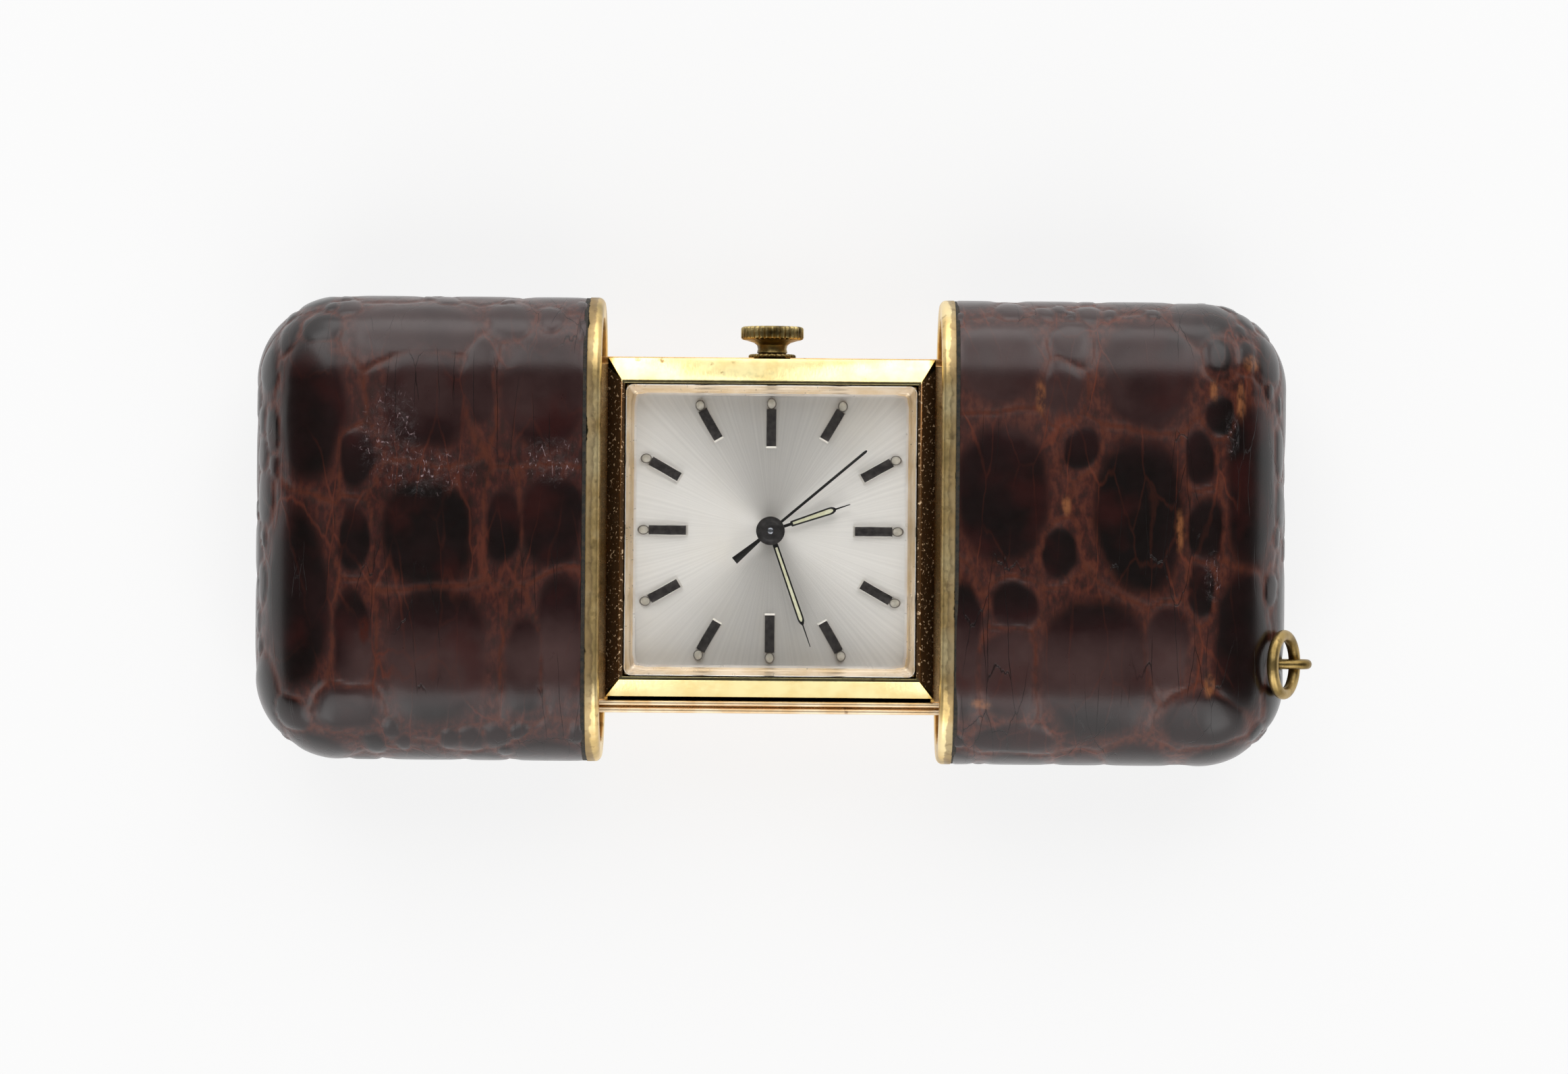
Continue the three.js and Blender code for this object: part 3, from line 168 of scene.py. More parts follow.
HOUR_BORE = 0.72
MINUTE_BORE = 0.52
SECONDS_BORE = 0.16
LUME_RISE = 0.03
HAND_EDGE = 0.02

# Markers, in millimetres
MARKER_HALF = 0.405
MARKER_HEIGHT = 0.36
MARKER_FACET = 0.15
MARKER_SLOPE = 0.05
INLAY_HALF = 0.345
INLAY_RISE = 0.03
LONG_MARKER = (6.15, 8.8)
SHORT_MARKER = (7.7, 10.05)
MARKER_EDGE = 0.02
DOT_RADIUS = 0.35
DOT_LUME = 0.28
DOT_REACH = 0.34
DOT_HEIGHT = 0.3

# Ring round the dial, from its top and outer edge: inset, drop and corner radius, in millimetres
REHAUT = [
    (0.0, 0.03, 0.1), (0.03, 0.0, 0.1), (0.24, 0.02, 0.14), (0.3, 0.08, 0.15), (0.52, 0.85, 0.18),
    (0.57, 0.89, 0.18), (0.63, 0.93, 0.2), (0.67, 1.2, 0.2), (0.72, 1.24, 0.2), (0.77, 1.3, 0.2),
]
REHAUT_CORNER = 0.1
REHAUT_FOOT = (0.79, 0.2)

# Crystal's dome, given the same way
CRYSTAL_DOME = [
    (0.0, 0.52, 0.55), (0.06, 0.4, 0.6), (0.2, 0.31, 0.7), (0.6, 0.17, 0.9), (1.1, 0.07, 1.1),
    (1.7, 0.015, 1.4), (2.4, 0.0, 1.8),
]
CRYSTAL_EDGE = 0.05
SQUARE_CORNER_STEPS = 8

# White line round the dial, in millimetres
DIAL_LINE_INSET = 0.78
DIAL_LINE_CORNER = 0.2
DIAL_LINE_WIDTH = 0.13
DIAL_LINE_HEIGHT = 0.12

# Bezel's blend at its mitres, and the depth of fine scratches in millimetres
MITRE_BLEND = 0.2 * MM
FINE_SCRATCH = 0.004

# Lower rail of the carrier
RAIL_WIDTH = 0.9 * MM
RAIL_GROOVE = 0.16 * MM
BEAD_RISE = 0.14 * MM
BEAD_SINK = 0.04 * MM
BEAD_STEPS = 12

# Crown, in millimetres
CROWN_RIBS = 32
RIB_DEPTH = 0.19
RIB_STEPS = 8
RIB_ROUNDNESS = 0.97
COLLAR_BEADS = 26
BEAD_DEPTH = 0.12

# Lanyard ring
RING_RADIUS = 2.105 * MM
RING_WIRE = 0.425 * MM
RING_LEAN = math.radians(118)
RING_POINTS = 96
STAPLE_POINTS = 16
WIRE_SIDES = 28

# Camera, for a frame of 2324 x 1592
FRAME_WIDTH = 115.3 * MM
CAMERA_HEIGHT = 350 * MM
CAMERA_X = 0.03 * MM
CAMERA_Y = -0.44 * MM
CAMERA_ROLL = math.radians(0.5)
SENSOR = 36.0
CLIP_START = 10 * MM

# Lamps and floor
LAMP_PLACES = [(-0.3, 0.6), (0.3, 0.6), (-0.3, -0.6), (0.3, -0.6)]
LAMP_HEIGHT = 0.55
LAMP_SIZE = (0.4, 0.8)
LAMP_POWER = 1.6
FLOOR_HALF = 0.6
FLOOR_WHITE = 0.8

# Welding distance and shortest edge of a mesh
WELD = 1e-7
SHORTEST = 1e-8

dial_low, dial_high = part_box("dial")
CENTRE = (dial_low + dial_high) / 2
DIAL_TOP = dial_high.z
rim_low, rim_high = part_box("left_mouth_rim")
HALF_HEIGHT = (rim_high.y - rim_low.y) / 2
HALF_DEPTH = (rim_high.z - rim_low.z) / 2
MIDDLE = (rim_high.z + rim_low.z) / 2


# Node trees

def srgb(code):
    values = [int(code[i:i + 2], 16) / 255 for i in (1, 3, 5)]
    linear = [v / 12.92 if v <= 0.04045 else ((v + 0.055) / 1.055) ** 2.4 for v in values]
    return (*linear, 1.0)


class Nodes:
    """Short ways to add nodes to a node tree."""

    def __init__(self, tree):
        self.nodes = tree.nodes
        self.links = tree.links
        self.nodes.clear()

    def node(self, kind, inputs=None, **settings):
        made = self.nodes.new(kind)
        for key, value in settings.items():
            setattr(made, key, value)
        for key, value in (inputs or {}).items():
            if isinstance(value, bpy.types.NodeSocket):
                self.links.new(value, made.inputs[key])
            else:
                made.inputs[key].default_value = value
        return made

    def position(self, stretch=(1, 1, 1)):
        """Object coordinates in millimetres, stretched."""
        coordinates = self.node("ShaderNodeTexCoord").outputs["Object"]
        scale = tuple(1000 * s for s in stretch)
        return self.node("ShaderNodeMapping", {"Vector": coordinates, "Scale": scale}).outputs[0]

    def noise(self, scale, detail=3.0, stretch=(1, 1, 1), distortion=0.0):
        inputs = {
            "Vector": self.position(stretch), "Scale": scale,
            "Detail": detail, "Distortion": distortion,
        }
        return self.node("ShaderNodeTexNoise", inputs).outputs["Fac"]

    def net(self, scale, width, stretch, wander):
        """Thin lines between stretched cells, whose edges wander."""
        place = self.position(stretch)
        push = self.node("ShaderNodeTexNoise", {"Vector": place, "Scale": 0.4, "Detail": 4.0})
        push = self.node("ShaderNodeVectorMath", {0: push.outputs["Color"], "Scale": wander},
                         operation="SCALE")
        moved = self.node("ShaderNodeVectorMath", {0: place, 1: push.outputs[0]}, operation="ADD")
        cells = self.node("ShaderNodeTexVoronoi", {"Vector": moved.outputs[0], "Scale": scale},
                          feature="DISTANCE_TO_EDGE")
        return self.fade(cells.outputs["Distance"], 0.0, width, 1.0, 0.0)

    def from_centre(self):
        """X, Y and Z from the dial's centre, in metres."""
        place = self.node("ShaderNodeTexCoord").outputs["Object"]
        moved = self.node("ShaderNodeMapping", {"Vector": place, "Location": -CENTRE})
        return self.node("ShaderNodeSeparateXYZ", {0: moved.outputs[0]}).outputs

    def attribute(self, name):
        return self.node("ShaderNodeAttribute", attribute_name=name).outputs["Fac"]

    def math(self, operation, a, b=0.0, clamp=False):
        made = self.node("ShaderNodeMath", {0: a, 1: b}, operation=operation, use_clamp=clamp)
        return made.outputs[0]

    def times(self, a, b):
        return self.math("MULTIPLY", a, b)

    def plus(self, a, b):
        return self.math("ADD", a, b)

    def fade(self, value, start, end, low=0.0, high=1.0):
        inputs = {
            "Value": value, "From Min": start, "From Max": end, "To Min": low, "To Max": high,
        }
        made = self.node("ShaderNodeMapRange", inputs, interpolation_type="SMOOTHSTEP")
        return made.outputs["Result"]

    def mix(self, factor, first, second):
        made = self.node("ShaderNodeMix", data_type="RGBA")
        for index, value in ((0, factor), (6, first), (7, second)):
            if isinstance(value, bpy.types.NodeSocket):
                self.links.new(value, made.inputs[index])
            else:
                made.inputs[index].default_value = srgb(value) if isinstance(value, str) else value
        return made.outputs[2]

    def tones(self, value, stops):
        made = self.node("ShaderNodeValToRGB", {0: value})
        elements = made.color_ramp.elements
        while len(elements) < len(stops):
            elements.new(0.5)
        for element, (place, colour) in zip(elements, stops):
            element.position = place
            element.color = srgb(colour)
        return made.outputs["Color"]


class Tree(Nodes):
    """A material around one Principled shader."""

    def __init__(self, name, **constants):
        self.material = bpy.data.materials.new(name)
        self.material.use_nodes = True
        super().__init__(self.material.node_tree)
        self.output = self.nodes.new("ShaderNodeOutputMaterial")
        self.shader = self.nodes.new("ShaderNodeBsdfPrincipled")
        self.links.new(self.shader.outputs[0], self.output.inputs["Surface"])
        for key, value in constants.items():
            self.shader.inputs[key.replace("_", " ")].default_value = value

    def colour(self, socket):
        self.links.new(socket, self.shader.inputs["Base Color"])

    def roughness(self, socket):
        self.links.new(socket, self.shader.inputs["Roughness"])

    def bump(self, socket, height):
        """The height is in millimetres."""
        made = self.node("ShaderNodeBump", {"Height": socket, "Distance": height * MM})
        self.links.new(made.outputs[0], self.shader.inputs["Normal"])


def leather_material(name, groove_tones, fold_tone, speck_tone):
    tree = Tree(name, Coat_Weight=0.5, Coat_Roughness=0.24, Specular_IOR_Level=0.25)
    oval = tree.attribute("oval")
    bare = tree.math("SUBTRACT", 1.0, oval, True)
    crinkle_and_glint_mask = tree.attribute("crinkle")
    grain = tree.noise(2.4, 5, (1.0, 0.5, 1.0))
    cloud = tree.times(tree.math("SUBTRACT", tree.noise(0.3, 4), 0.5), 0.7)
    # The tone attribute holds each scale's random tone plus the painted sheen; the ramp's pale
    # grey-plum end and the grey mixed into the grooves are painted sheen.
    tone = tree.plus(tree.attribute("tone"), cloud)
    scale = tree.tones(tone, [(0.0, "#0d0504"), (0.4, "#241010"), (1.0, "#4c3836")])
    groove = tree.tones(tree.fade(grain, 0.3, 0.7), groove_tones)
    groove = tree.mix(tree.times(tone, 0.35), groove, "#5a4340")
    fray = tree.times(tree.math("SUBTRACT", grain, 0.5), 0.6)
    body = tree.mix(tree.fade(tree.plus(oval, fray), 0.05, 0.95), groove, scale)
    red = tree.fade(tree.noise(0.2, 3), 0.5, 0.72, 0.0, 0.5)
    body = tree.mix(tree.times(red, oval), body, "#3a1310")
    crease = tree.times(tree.attribute("crease"), tree.fade(grain, 0.25, 0.6, 0.25, 0.8))
    body = tree.mix(crease, body, "#552818")
    open_leather = tree.math("SUBTRACT", 1.0, tree.times(oval, 0.8))
    folds = tree.times(tree.net(0.42, 0.035, (1.0, 0.3, 0.6), 1.6), open_leather)
    folds = tree.times(folds, tree.fade(tree.noise(0.16, 3), 0.4, 0.6))
    body = tree.mix(tree.times(folds, 0.65), body, fold_tone)
    cracks = tree.net(0.5, 0.014, (1.3, 0.2, 0.6), 1.4)
    cracks = tree.times(cracks, tree.fade(tree.noise(0.12, 2), 0.47, 0.56))
    body = tree.mix(tree.times(cracks, 0.8), body, "#100605")
    worn = tree.times(tree.attribute("worn"), tree.fade(grain, 0.25, 0.65))
    body = tree.mix(worn, body, speck_tone)
    # Pale flecks in the crinkled patches are painted glints, standing in for light caught by the
    # crinkled glaze.
    painted_glints = tree.times(tree.net(1.9, 0.05, (1.0, 0.35, 1.0), 1.2), crinkle_and_glint_mask)
    painted_glints = tree.times(painted_glints, tree.fade(tree.noise(2.8, 4), 0.52, 0.68))
    body = tree.mix(painted_glints, body, "#a08a8d")
    tree.colour(body)
    gloss = tree.times(tree.noise(1.3, 3), 0.12)
    tree.roughness(tree.plus(tree.fade(oval, 0.0, 1.0, 0.36, 0.24), gloss))
    wrinkle = tree.times(tree.noise(1.7, 6, (2.0, 0.4, 1.0), 0.4), bare)
    crinkle = tree.times(tree.noise(1.6, 4, (1.0, 0.7, 1.0), 1.5), crinkle_and_glint_mask)
    relief = tree.times(wrinkle, 0.35)
    relief = tree.plus(relief, tree.times(crinkle, 2.0))
    relief = tree.math("SUBTRACT", relief, tree.times(cracks, 0.25))
    relief = tree.plus(relief, tree.times(folds, 0.15))
    relief = tree.plus(relief, tree.times(tree.noise(6.0, 3), 0.05))
    tree.bump(relief, 0.12)
    return tree.material


def tarnished(tree, light, dark, tarnish, tone):
    body = tree.mix(tree.fade(tree.noise(0.5, 4), 0.35, 0.7), light, dark)
    if tarnish:
        dirt = tree.fade(tree.noise(0.8, 6), 0.68 - tarnish * 0.3, 0.78 - tarnish * 0.2)
        body = tree.mix(tree.times(dirt, 0.8), body, tone)
    return body


def brushed(tree, rough, scratch):
    """Bumps the surface with fine scratches and gives a roughness that goes with them."""
    fine = tree.noise(3.0, 5)
    tree.bump(tree.plus(tree.noise(5.0, 3, (1.0, 0.12, 1.0)), fine), scratch)
    return tree.plus(tree.times(fine, 0.16), rough - 0.08)


def metal_material(name, light, dark, rough, tarnish=0.0, tarnish_tone="#4d3a1e",
                   scratch=FINE_SCRATCH, metallic=1.0):
    tree = Tree(name, Metallic=metallic)
    tree.colour(tarnished(tree, light, dark, tarnish, tarnish_tone))
    tree.roughness(brushed(tree, rough, scratch))
    return tree.material


def bezel_material():
    """Polished gold; the bevels to the left and right are brown, partly painted reflection of the
    leather and partly dirt, and finely pitted with pale specks painted as glints.
    """
    tree = Tree("bezel_gold")
    body = tarnished(tree, "#f2e3a8", "#ecd291", 0.08, "#7a4a20")
    parts = tree.from_centre()
    beyond = tree.math("SUBTRACT", tree.math("ABSOLUTE", parts[0]), tree.math("ABSOLUTE", parts[1]))
    side = tree.fade(beyond, 0.0, MITRE_BLEND)
    # Brown on the side bevels: painted reflection of the brown leather beside them, partly dirt.
    body = tree.mix(tree.times(side, 0.8), body, "#8a4822")
    # Pale specks on the rougher pits of the side bevels are painted glints, made less metallic so
    # that the lamps light them.
    pits_and_glints = tree.times(tree.fade(tree.noise(5.0, 5), 0.58, 0.68), side)
    tree.colour(tree.mix(pits_and_glints, body, "#e6c8a2"))
    matte_share = tree.plus(tree.times(side, 0.1), tree.times(pits_and_glints, 0.45))
    tree.links.new(tree.math("SUBTRACT", 1.0, matte_share), tree.shader.inputs["Metallic"])
    rough = brushed(tree, 0.17, FINE_SCRATCH)
    tree.roughness(tree.plus(rough, tree.times(pits_and_glints, 0.4)))
    return tree.material


def rim_material():
    """Worn gold with verdigris where it meets the leather."""
    tree = Tree("worn_gold_rim", Metallic=1.0)
    cloud = tree.noise(0.28, 5, (0.6, 1.0, 1.0))
    body = tree.tones(cloud, [(0.28, "#b09966"), (0.45, "#e8c888"), (0.62, "#ffe9b2")])
    body = tree.mix(tree.fade(tree.noise(1.4, 6), 0.58, 0.7, 0.0, 0.5), body, "#90764c")
    fray = tree.plus(tree.times(tree.noise(1.6, 6), 0.5), tree.noise(0.22, 2))
    ragged = tree.plus(tree.attribute("leather_edge"), fray)
    body = tree.mix(tree.fade(ragged, 1.2, 1.34, 0.0, 0.6), body, "#75614c")
    tree.colour(tree.mix(tree.fade(ragged, 1.76, 1.86), body, "#262619"))
    shine = tree.times(tree.noise(3.2, 4), 0.2)
    tree.roughness(tree.plus(shine, tree.fade(ragged, 1.2, 1.7, 0.28, 0.46)))
    tree.bump(tree.noise(2.2, 6), 0.02)
    return tree.material


def dial_material():
    """Brushed rays from the centre, so that a lamp shows as two bright wedges."""
    tree = Tree("sunray_silver", Metallic=0.8, Anisotropic=0.85)
    parts = tree.from_centre()
    angle = tree.math("ARCTAN2", parts[1], parts[0])
    inputs = {"W": angle, "Scale": 42.0, "Detail": 4.0}
    ray = tree.node("ShaderNodeTexNoise", inputs, noise_dimensions="1D").outputs["Fac"]
    body = tree.mix(tree.fade(ray, 0.3, 0.7), "#efece6", "#f6f3ed")
    age = tree.fade(tree.noise(0.16, 4), 0.45, 0.75, 0.0, 0.5)
    tree.colour(tree.mix(age, body, "#efe9dd"))
    tree.roughness(tree.plus(tree.times(ray, 0.03), 0.46))
    tangent = tree.node("ShaderNodeTangent", direction_type="RADIAL", axis="Z")
    tree.links.new(tangent.outputs[0], tree.shader.inputs["Tangent"])
    return tree.material


def crystal_material():
    """Clear acrylic with fine hairline wear, which lets the lamps through to the dial."""
    tree = Tree("acrylic_crystal", Transmission_Weight=1.0, IOR=1.49, Base_Color=(1, 1, 1, 1))
    tree.roughness(tree.fade(tree.noise(0.8, 6, (1.0, 0.2, 1.0)), 0.55, 0.8, 0.01, 0.04))
    clear = tree.node("ShaderNodeBsdfTransparent", {"Color": (0.98, 0.98, 0.98, 1)}).outputs[0]
    shadow = tree.node("ShaderNodeLightPath").outputs["Is Shadow Ray"]
    both = tree.node("ShaderNodeMixShader", {0: shadow, 1: tree.shader.outputs[0], 2: clear})
    tree.links.new(both.outputs[0], tree.output.inputs["Surface"])
    return tree.material


def paint_material(name, light, dark, rough, metallic=0.0, grain=0.01):
    tree = Tree(name, Metallic=metallic)
    tree.colour(tree.mix(tree.fade(tree.noise(2.5, 5), 0.35, 0.65), light, dark))
    shine = tree.times(tree.noise(6.0, 4), 0.12)
    tree.roughness(tree.plus(shine, rough - 0.06))
    tree.bump(tree.noise(8.0, 4), grain)
    return tree.material


LEFT_LEATHER = leather_material(
    "crocodile_left", [(0.0, "#26100b"), (0.6, "#391611"), (1.0, "#4c2216")],
    "#5f2c1d", "#40180f",
)
RIGHT_LEATHER = leather_material(
    "crocodile_right", [(0.0, "#2b120d"), (0.55, "#421c14"), (1.0, "#572a1b")],
    "#6a3220", "#8a5634",
)
BEZEL_GOLD = bezel_material()
CARRIER_GOLD = metal_material("carrier_gold", "#ecc48c", "#dcac6c", 0.26, 0.12, "#5a3013")
PALE_GOLD = metal_material("pale_gold", "#f6e2c6", "#e6ca9f", 0.3, metallic=0.6)
EDGE_WHITE = metal_material("dial_edge", "#fbf7f1", "#efe6dc", 0.3, metallic=0.3)
RAIL_GOLD = metal_material("rail_gold", "#fae6c6", "#e8c596", 0.32, 0.1, "#8a5a34", metallic=0.6)
RIM_GOLD = rim_material()
AGED_BRASS = metal_material("aged_brass", "#c2ad76", "#8a7545", 0.34, 0.55, "#3f321c", 0.012)
RING_BRASS = metal_material("ring_brass", "#b09660", "#7d683c", 0.36, 0.35, "#4c3c20", 0.02)
BRASS = metal_material("wheel_brass", "#d2b268", "#b9974e", 0.35)
SPRING_BRASS = metal_material("spring_brass", "#6f5a33", "#4b3a20", 0.45)
LINER = metal_material("liner_brass", "#b3935a", "#7c6136", 0.4, 0.4, "#3a2c18")
NICKEL = metal_material("plate_nickel", "#c4c2bc", "#aaa8a2", 0.34)
STEEL = metal_material("bright_steel", "#b2b5ba", "#8f9298", 0.26)
MARKER_STEEL = metal_material("marker_steel", "#f1efeb", "#e2dfda", 0.14)
DIAL = dial_material()
CRYSTAL = crystal_material()
INLAY = paint_material("marker_inlay", "#45413f", "#343130", 0.34, 0.6, 0.02)
HAND_BLACK = paint_material("hand_black", "#191715", "#0f0e0d", 0.32, 0.3)
BOSS_BLACK = paint_material("boss_black", "#373433", "#262423", 0.36, 0.5, 0.02)
LUME = paint_material("aged_lume", "#e9e8c9", "#dbd9b4", 0.6, 0.0, 0.03)
DOT_CREAM = paint_material("dot_cream", "#cfcabd", "#b9b4a6", 0.5, 0.0, 0.03)
DOT_GREY = paint_material("dot_grey", "#8a857e", "#77726c", 0.4, 0.5, 0.02)
SEAM = paint_material("seam_dirt", "#33291c", "#141610", 0.7, 0.0, 0.05)
SLOT_FINISH = {
    "leather": LEFT_LEATHER, "liner_brass": LINER, "gold_plate": CARRIER_GOLD,
    "aged_brass": AGED_BRASS, "wheel_brass": BRASS, "nickel": NICKEL, "steel": STEEL,
    "crystal": CRYSTAL, "dial_silver": DIAL, "marker_dark": INLAY, "hand_black": HAND_BLACK,
}


# Meshes

def tidy(mesh, smooth_angle):
    """Welds doubles, points the faces out and smooths all but the sharp edges."""
    shape = bmesh.new()
    shape.from_mesh(mesh)
    bmesh.ops.remove_doubles(shape, verts=shape.verts, dist=WELD)
    bmesh.ops.dissolve_degenerate(shape, edges=shape.edges, dist=SHORTEST)
    bmesh.ops.recalc_face_normals(shape, faces=shape.faces)
    shape.to_mesh(mesh)
    shape.free()
    mesh.shade_smooth()
    mesh.set_sharp_from_angle(angle=math.radians(smooth_angle))


def mesh_object(name, points, faces, material, smooth_angle=35, attributes=None):
    mesh = bpy.data.meshes.new(name)
    mesh.from_pydata([tuple(p) for p in points], [], faces)
    for key, values in (attributes or {}).items():
        mesh.attributes.new(key, "FLOAT", "POINT").data.foreach_set("value", values)
    tidy(mesh, smooth_angle)
    mesh.materials.append(material)
    made = bpy.data.objects.new(name, mesh)
    bpy.context.scene.collection.objects.link(made)
    return made


def belongs(made, body, slot, *nodes):
    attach(made, body)
    if nodes:
        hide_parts(*nodes)
    return made


def grid_faces(rows, columns, wrap_rows=False):
    """Quads of a grid of points that is stored row by row, where each row is a loop."""
    faces = []
    for row in range(rows if wrap_rows else rows - 1):
        below = (row + 1) % rows
        for column in range(columns):
            beside = (column + 1) % columns
            faces.append((row * columns + column, row * columns + beside,
                          below * columns + beside, below * columns + column))
    return faces


def soften(made, width, segments=2, angle=30):
    """Rounds the sharp edges and keeps the result as the object's mesh."""
    bevel = made.modifiers.new("soften", "BEVEL")
    bevel.width = width
    bevel.segments = segments
    bevel.angle_limit = math.radians(angle)
    graph = bpy.context.evaluated_depsgraph_get()
    result = bpy.data.meshes.new_from_object(made.evaluated_get(graph))
    made.modifiers.clear()
    made.data = result
    result.shade_smooth()
    result.set_sharp_from_angle(angle=math.radians(angle))
    return made


def refined(node, name, material, width):
    """A copy of a CAD node with softened edges, which replaces it."""
    source = frame["nodes"][node]
    faces = [tuple(p.vertices) for p in source.data.polygons]
    made = mesh_object(name, [v.co for v in source.data.vertices], faces, material)
    shape = bmesh.new()
    shape.from_mesh(made.data)
    flat = math.radians(1)
    bmesh.ops.dissolve_limit(shape, angle_limit=flat, verts=shape.verts, edges=shape.edges)
    shape.to_mesh(made.data)
    shape.free()
    soften(made, width)
    return belongs(made, BODY_OF[node], SLOT_OF[node], node)


def section_ring(inset, flat_steps, corner_steps, side_steps):
    """Y and Z round a shell's section, counter-clockwise from its upper right corner's start."""
    half_y = HALF_HEIGHT - inset
    half_z = HALF_DEPTH - inset
    radius = max(min(EDGE_RADIUS - inset, half_z), 1e-9)
    corners = [np.array((sy * (half_y - radius), sz * (half_z - radius)))
               for sy, sz in ((1, 1), (-1, 1), (-1, -1), (1, -1))]
    ring = []
    for quarter, centre in enumerate(corners):
        for step in range(corner_steps):
            angle = (quarter + step / corner_steps) * math.pi / 2
            ring.append(centre + radius * np.array((math.cos(angle), math.sin(angle))))
        angle = (quarter + 1) * math.pi / 2
        outward = radius * np.array((math.cos(angle), math.sin(angle)))
        start = centre + outward
        end = corners[(quarter + 1) % 4] + outward
        steps = side_steps if quarter % 2 else flat_steps
        ring += [start + (end - start) * step / steps for step in range(steps)]
    return np.array(ring)


def shell_profile(mouth, end, depth, straight_steps, bend_steps, cap_steps):
    """Places from the dial's centre and insets along a skin, from the mouth to the closed end."""
    radius = EDGE_RADIUS - depth
    bend = end - EDGE_RADIUS
    flat = HALF_DEPTH - EDGE_RADIUS
    profile = [(mouth + (bend - mouth) * step / straight_steps, depth)
               for step in range(straight_steps)]
    for step in range(bend_steps + 1):
        angle = step / bend_steps * math.pi / 2
        profile.append((bend + radius * math.sin(angle), depth + radius * (1 - math.cos(angle))))
    profile += [(end - depth, EDGE_RADIUS + flat * step / cap_steps)
                for step in range(1, cap_steps + 1)]
    return profile


def skin_grid(profile, side, steps):
    rows = []
    for place, inset in profile:
        ring = section_ring(inset, *steps)
        along = np.full((len(ring), 1), CENTRE.x + side * place)
        rows.append(np.hstack([along, ring[:, :1], ring[:, 1:] + MIDDLE]))
    return np.array(rows)


def grid_normals(grid, side):
    """Unit normals of a skin grid that point out of the shell."""
    along = np.gradient(grid, axis=0)
    around = np.roll(grid, -1, axis=1) - np.roll(grid, 1, axis=1)
    normals = np.cross(around, along) * side
    lengths = np.linalg.norm(normals, axis=2, keepdims=True)
    normals = normals / np.maximum(lengths, 1e-18)
    normals[lengths[:, :, 0] < 1e-12] = (side, 0, 0)
    return normals


def smoothstep(value, start, end):
    t = np.clip((value - start) / (end - start), 0, 1)
    return t * t * (3 - 2 * t)


def warped(points):
    """Points pushed about by smooth noise, so that outlines wander."""
    noise.seed_set(WARP_SEED)
    moved = []
    for point in points:
        place = Vector(point)
        broad = noise.noise_vector(place * WARP_BROAD)
        fine = noise.noise_vector(place * WARP_FINE)
        moved.append(place + WARP * broad + WARP_FINE_SHARE * WARP * fine)
    return np.array(moved)


class Scales:
    """Oval scales on a skin: each is a flattened ellipsoid centred on it."""

    def __init__(self, grid, normals):
        self.places = grid.reshape(-1, 3)
        self.points = warped(self.places)
        self.normals = normals.reshape(-1, 3)
        self.nearest = np.full(len(self.points), FAR)
        self.second = np.full(len(self.points), FAR)
        self.owner = np.zeros(len(self.points), int)
        self.count = 0

    def distance(self, index, half_x, half_y):
        """Distances from one scale's centre, as a share of its size."""
        normal = self.normals[index]
        across = np.cross(normal, (1.0, 0.0, 0.0))
        if np.linalg.norm(across) < 0.3:
            across = np.array((0.0, 1.0, 0.0))
        across = across / np.linalg.norm(across)
        along = np.cross(across, normal)
        offset = self.points - self.points[index]
        u = np.abs(offset @ along) / half_x
        v = np.abs(offset @ across) / half_y
        w = np.abs(offset @ normal) / (SCALE_THICKNESS * min(half_x, half_y))
        power = SCALE_SQUARENESS
        return (u ** power + v ** power + w ** power) ** (1 / power)

    def add(self, found):
        closer = found < self.nearest
        self.second = np.where(closer, self.nearest, np.minimum(self.second, found))
        self.nearest = np.where(closer, found, self.nearest)
        self.owner = np.where(closer, self.count, self.owner)
        self.count += 1

    def add_at(self, x, y, half_x, half_y):
        target = np.array((CENTRE.x + x * MM, CENTRE.y + y * MM))
        gap = ((self.places[:, :2] - target) ** 2).sum(axis=1)
        gap += self.normals[:, 2] < UPPER_NORMAL
        self.add(self.distance(int(np.argmin(gap)), half_x * MM, half_y * MM))

    def fill(self, seed):
        draw = random.Random(seed)
        for half_x, half_y, tries in FILL_SIZES:
            for _ in range(tries):
                index = draw.randrange(len(self.points))
                size = draw.uniform(*FILL_SPREAD) * MM
                if self.normals[index][2] > TOP_NORMAL or self.nearest[index] < FILL_APART:
                    continue
                found = self.distance(index, half_x * size, half_y * size)
                if self.nearest[found < 1].min() > FILL_CLEARANCE:
                    self.add(found)


def wrinkles(points):
    """Small folds across the shell between the scales, from -1 to 1."""
    stretched = points * np.array(WRINKLE_SCALE)
    return np.array([noise.noise(Vector(place)) for place in stretched])


def patches(places, normals, table):
    """1 inside the oval patches of a shell's top, fading out at their edges."""
    found = np.full(len(places), FAR)
    for x, y, radius_x, radius_y in table:
        u = (places[:, 0] - CENTRE.x - x * MM) / (radius_x * MM)
        v = (places[:, 1] - CENTRE.y - y * MM) / (radius_y * MM)
        found = np.minimum(found, np.hypot(u, v) + FAR * (normals[:, 2] < UPPER_NORMAL))
    return 1 - smoothstep(found, PATCH_START, PATCH_END)


def painted_sheen(places):
    """Painted sheen: leather painted paler towards the long edges, and darker in the middle and at
    the closed end.
    """
    upper, *upper_band = UPPER_PAINTED_SHEEN
    lower, *lower_band = LOWER_PAINTED_SHEEN
    dark, *fade_band = LOWER_SHEEN_FADE
    across = (places[:, 1] - CENTRE.y) / MM
    along = np.abs(places[:, 0] - CENTRE.x) / MM
    sheen_share = lower * smoothstep(-across, *lower_band) * (1 - dark * smoothstep(-across, *fade_band))
    sheen_share = upper * smoothstep(across, *upper_band) + sheen_share
    return sheen_share * (1 - smoothstep(along, *END_SHEEN_FADE))


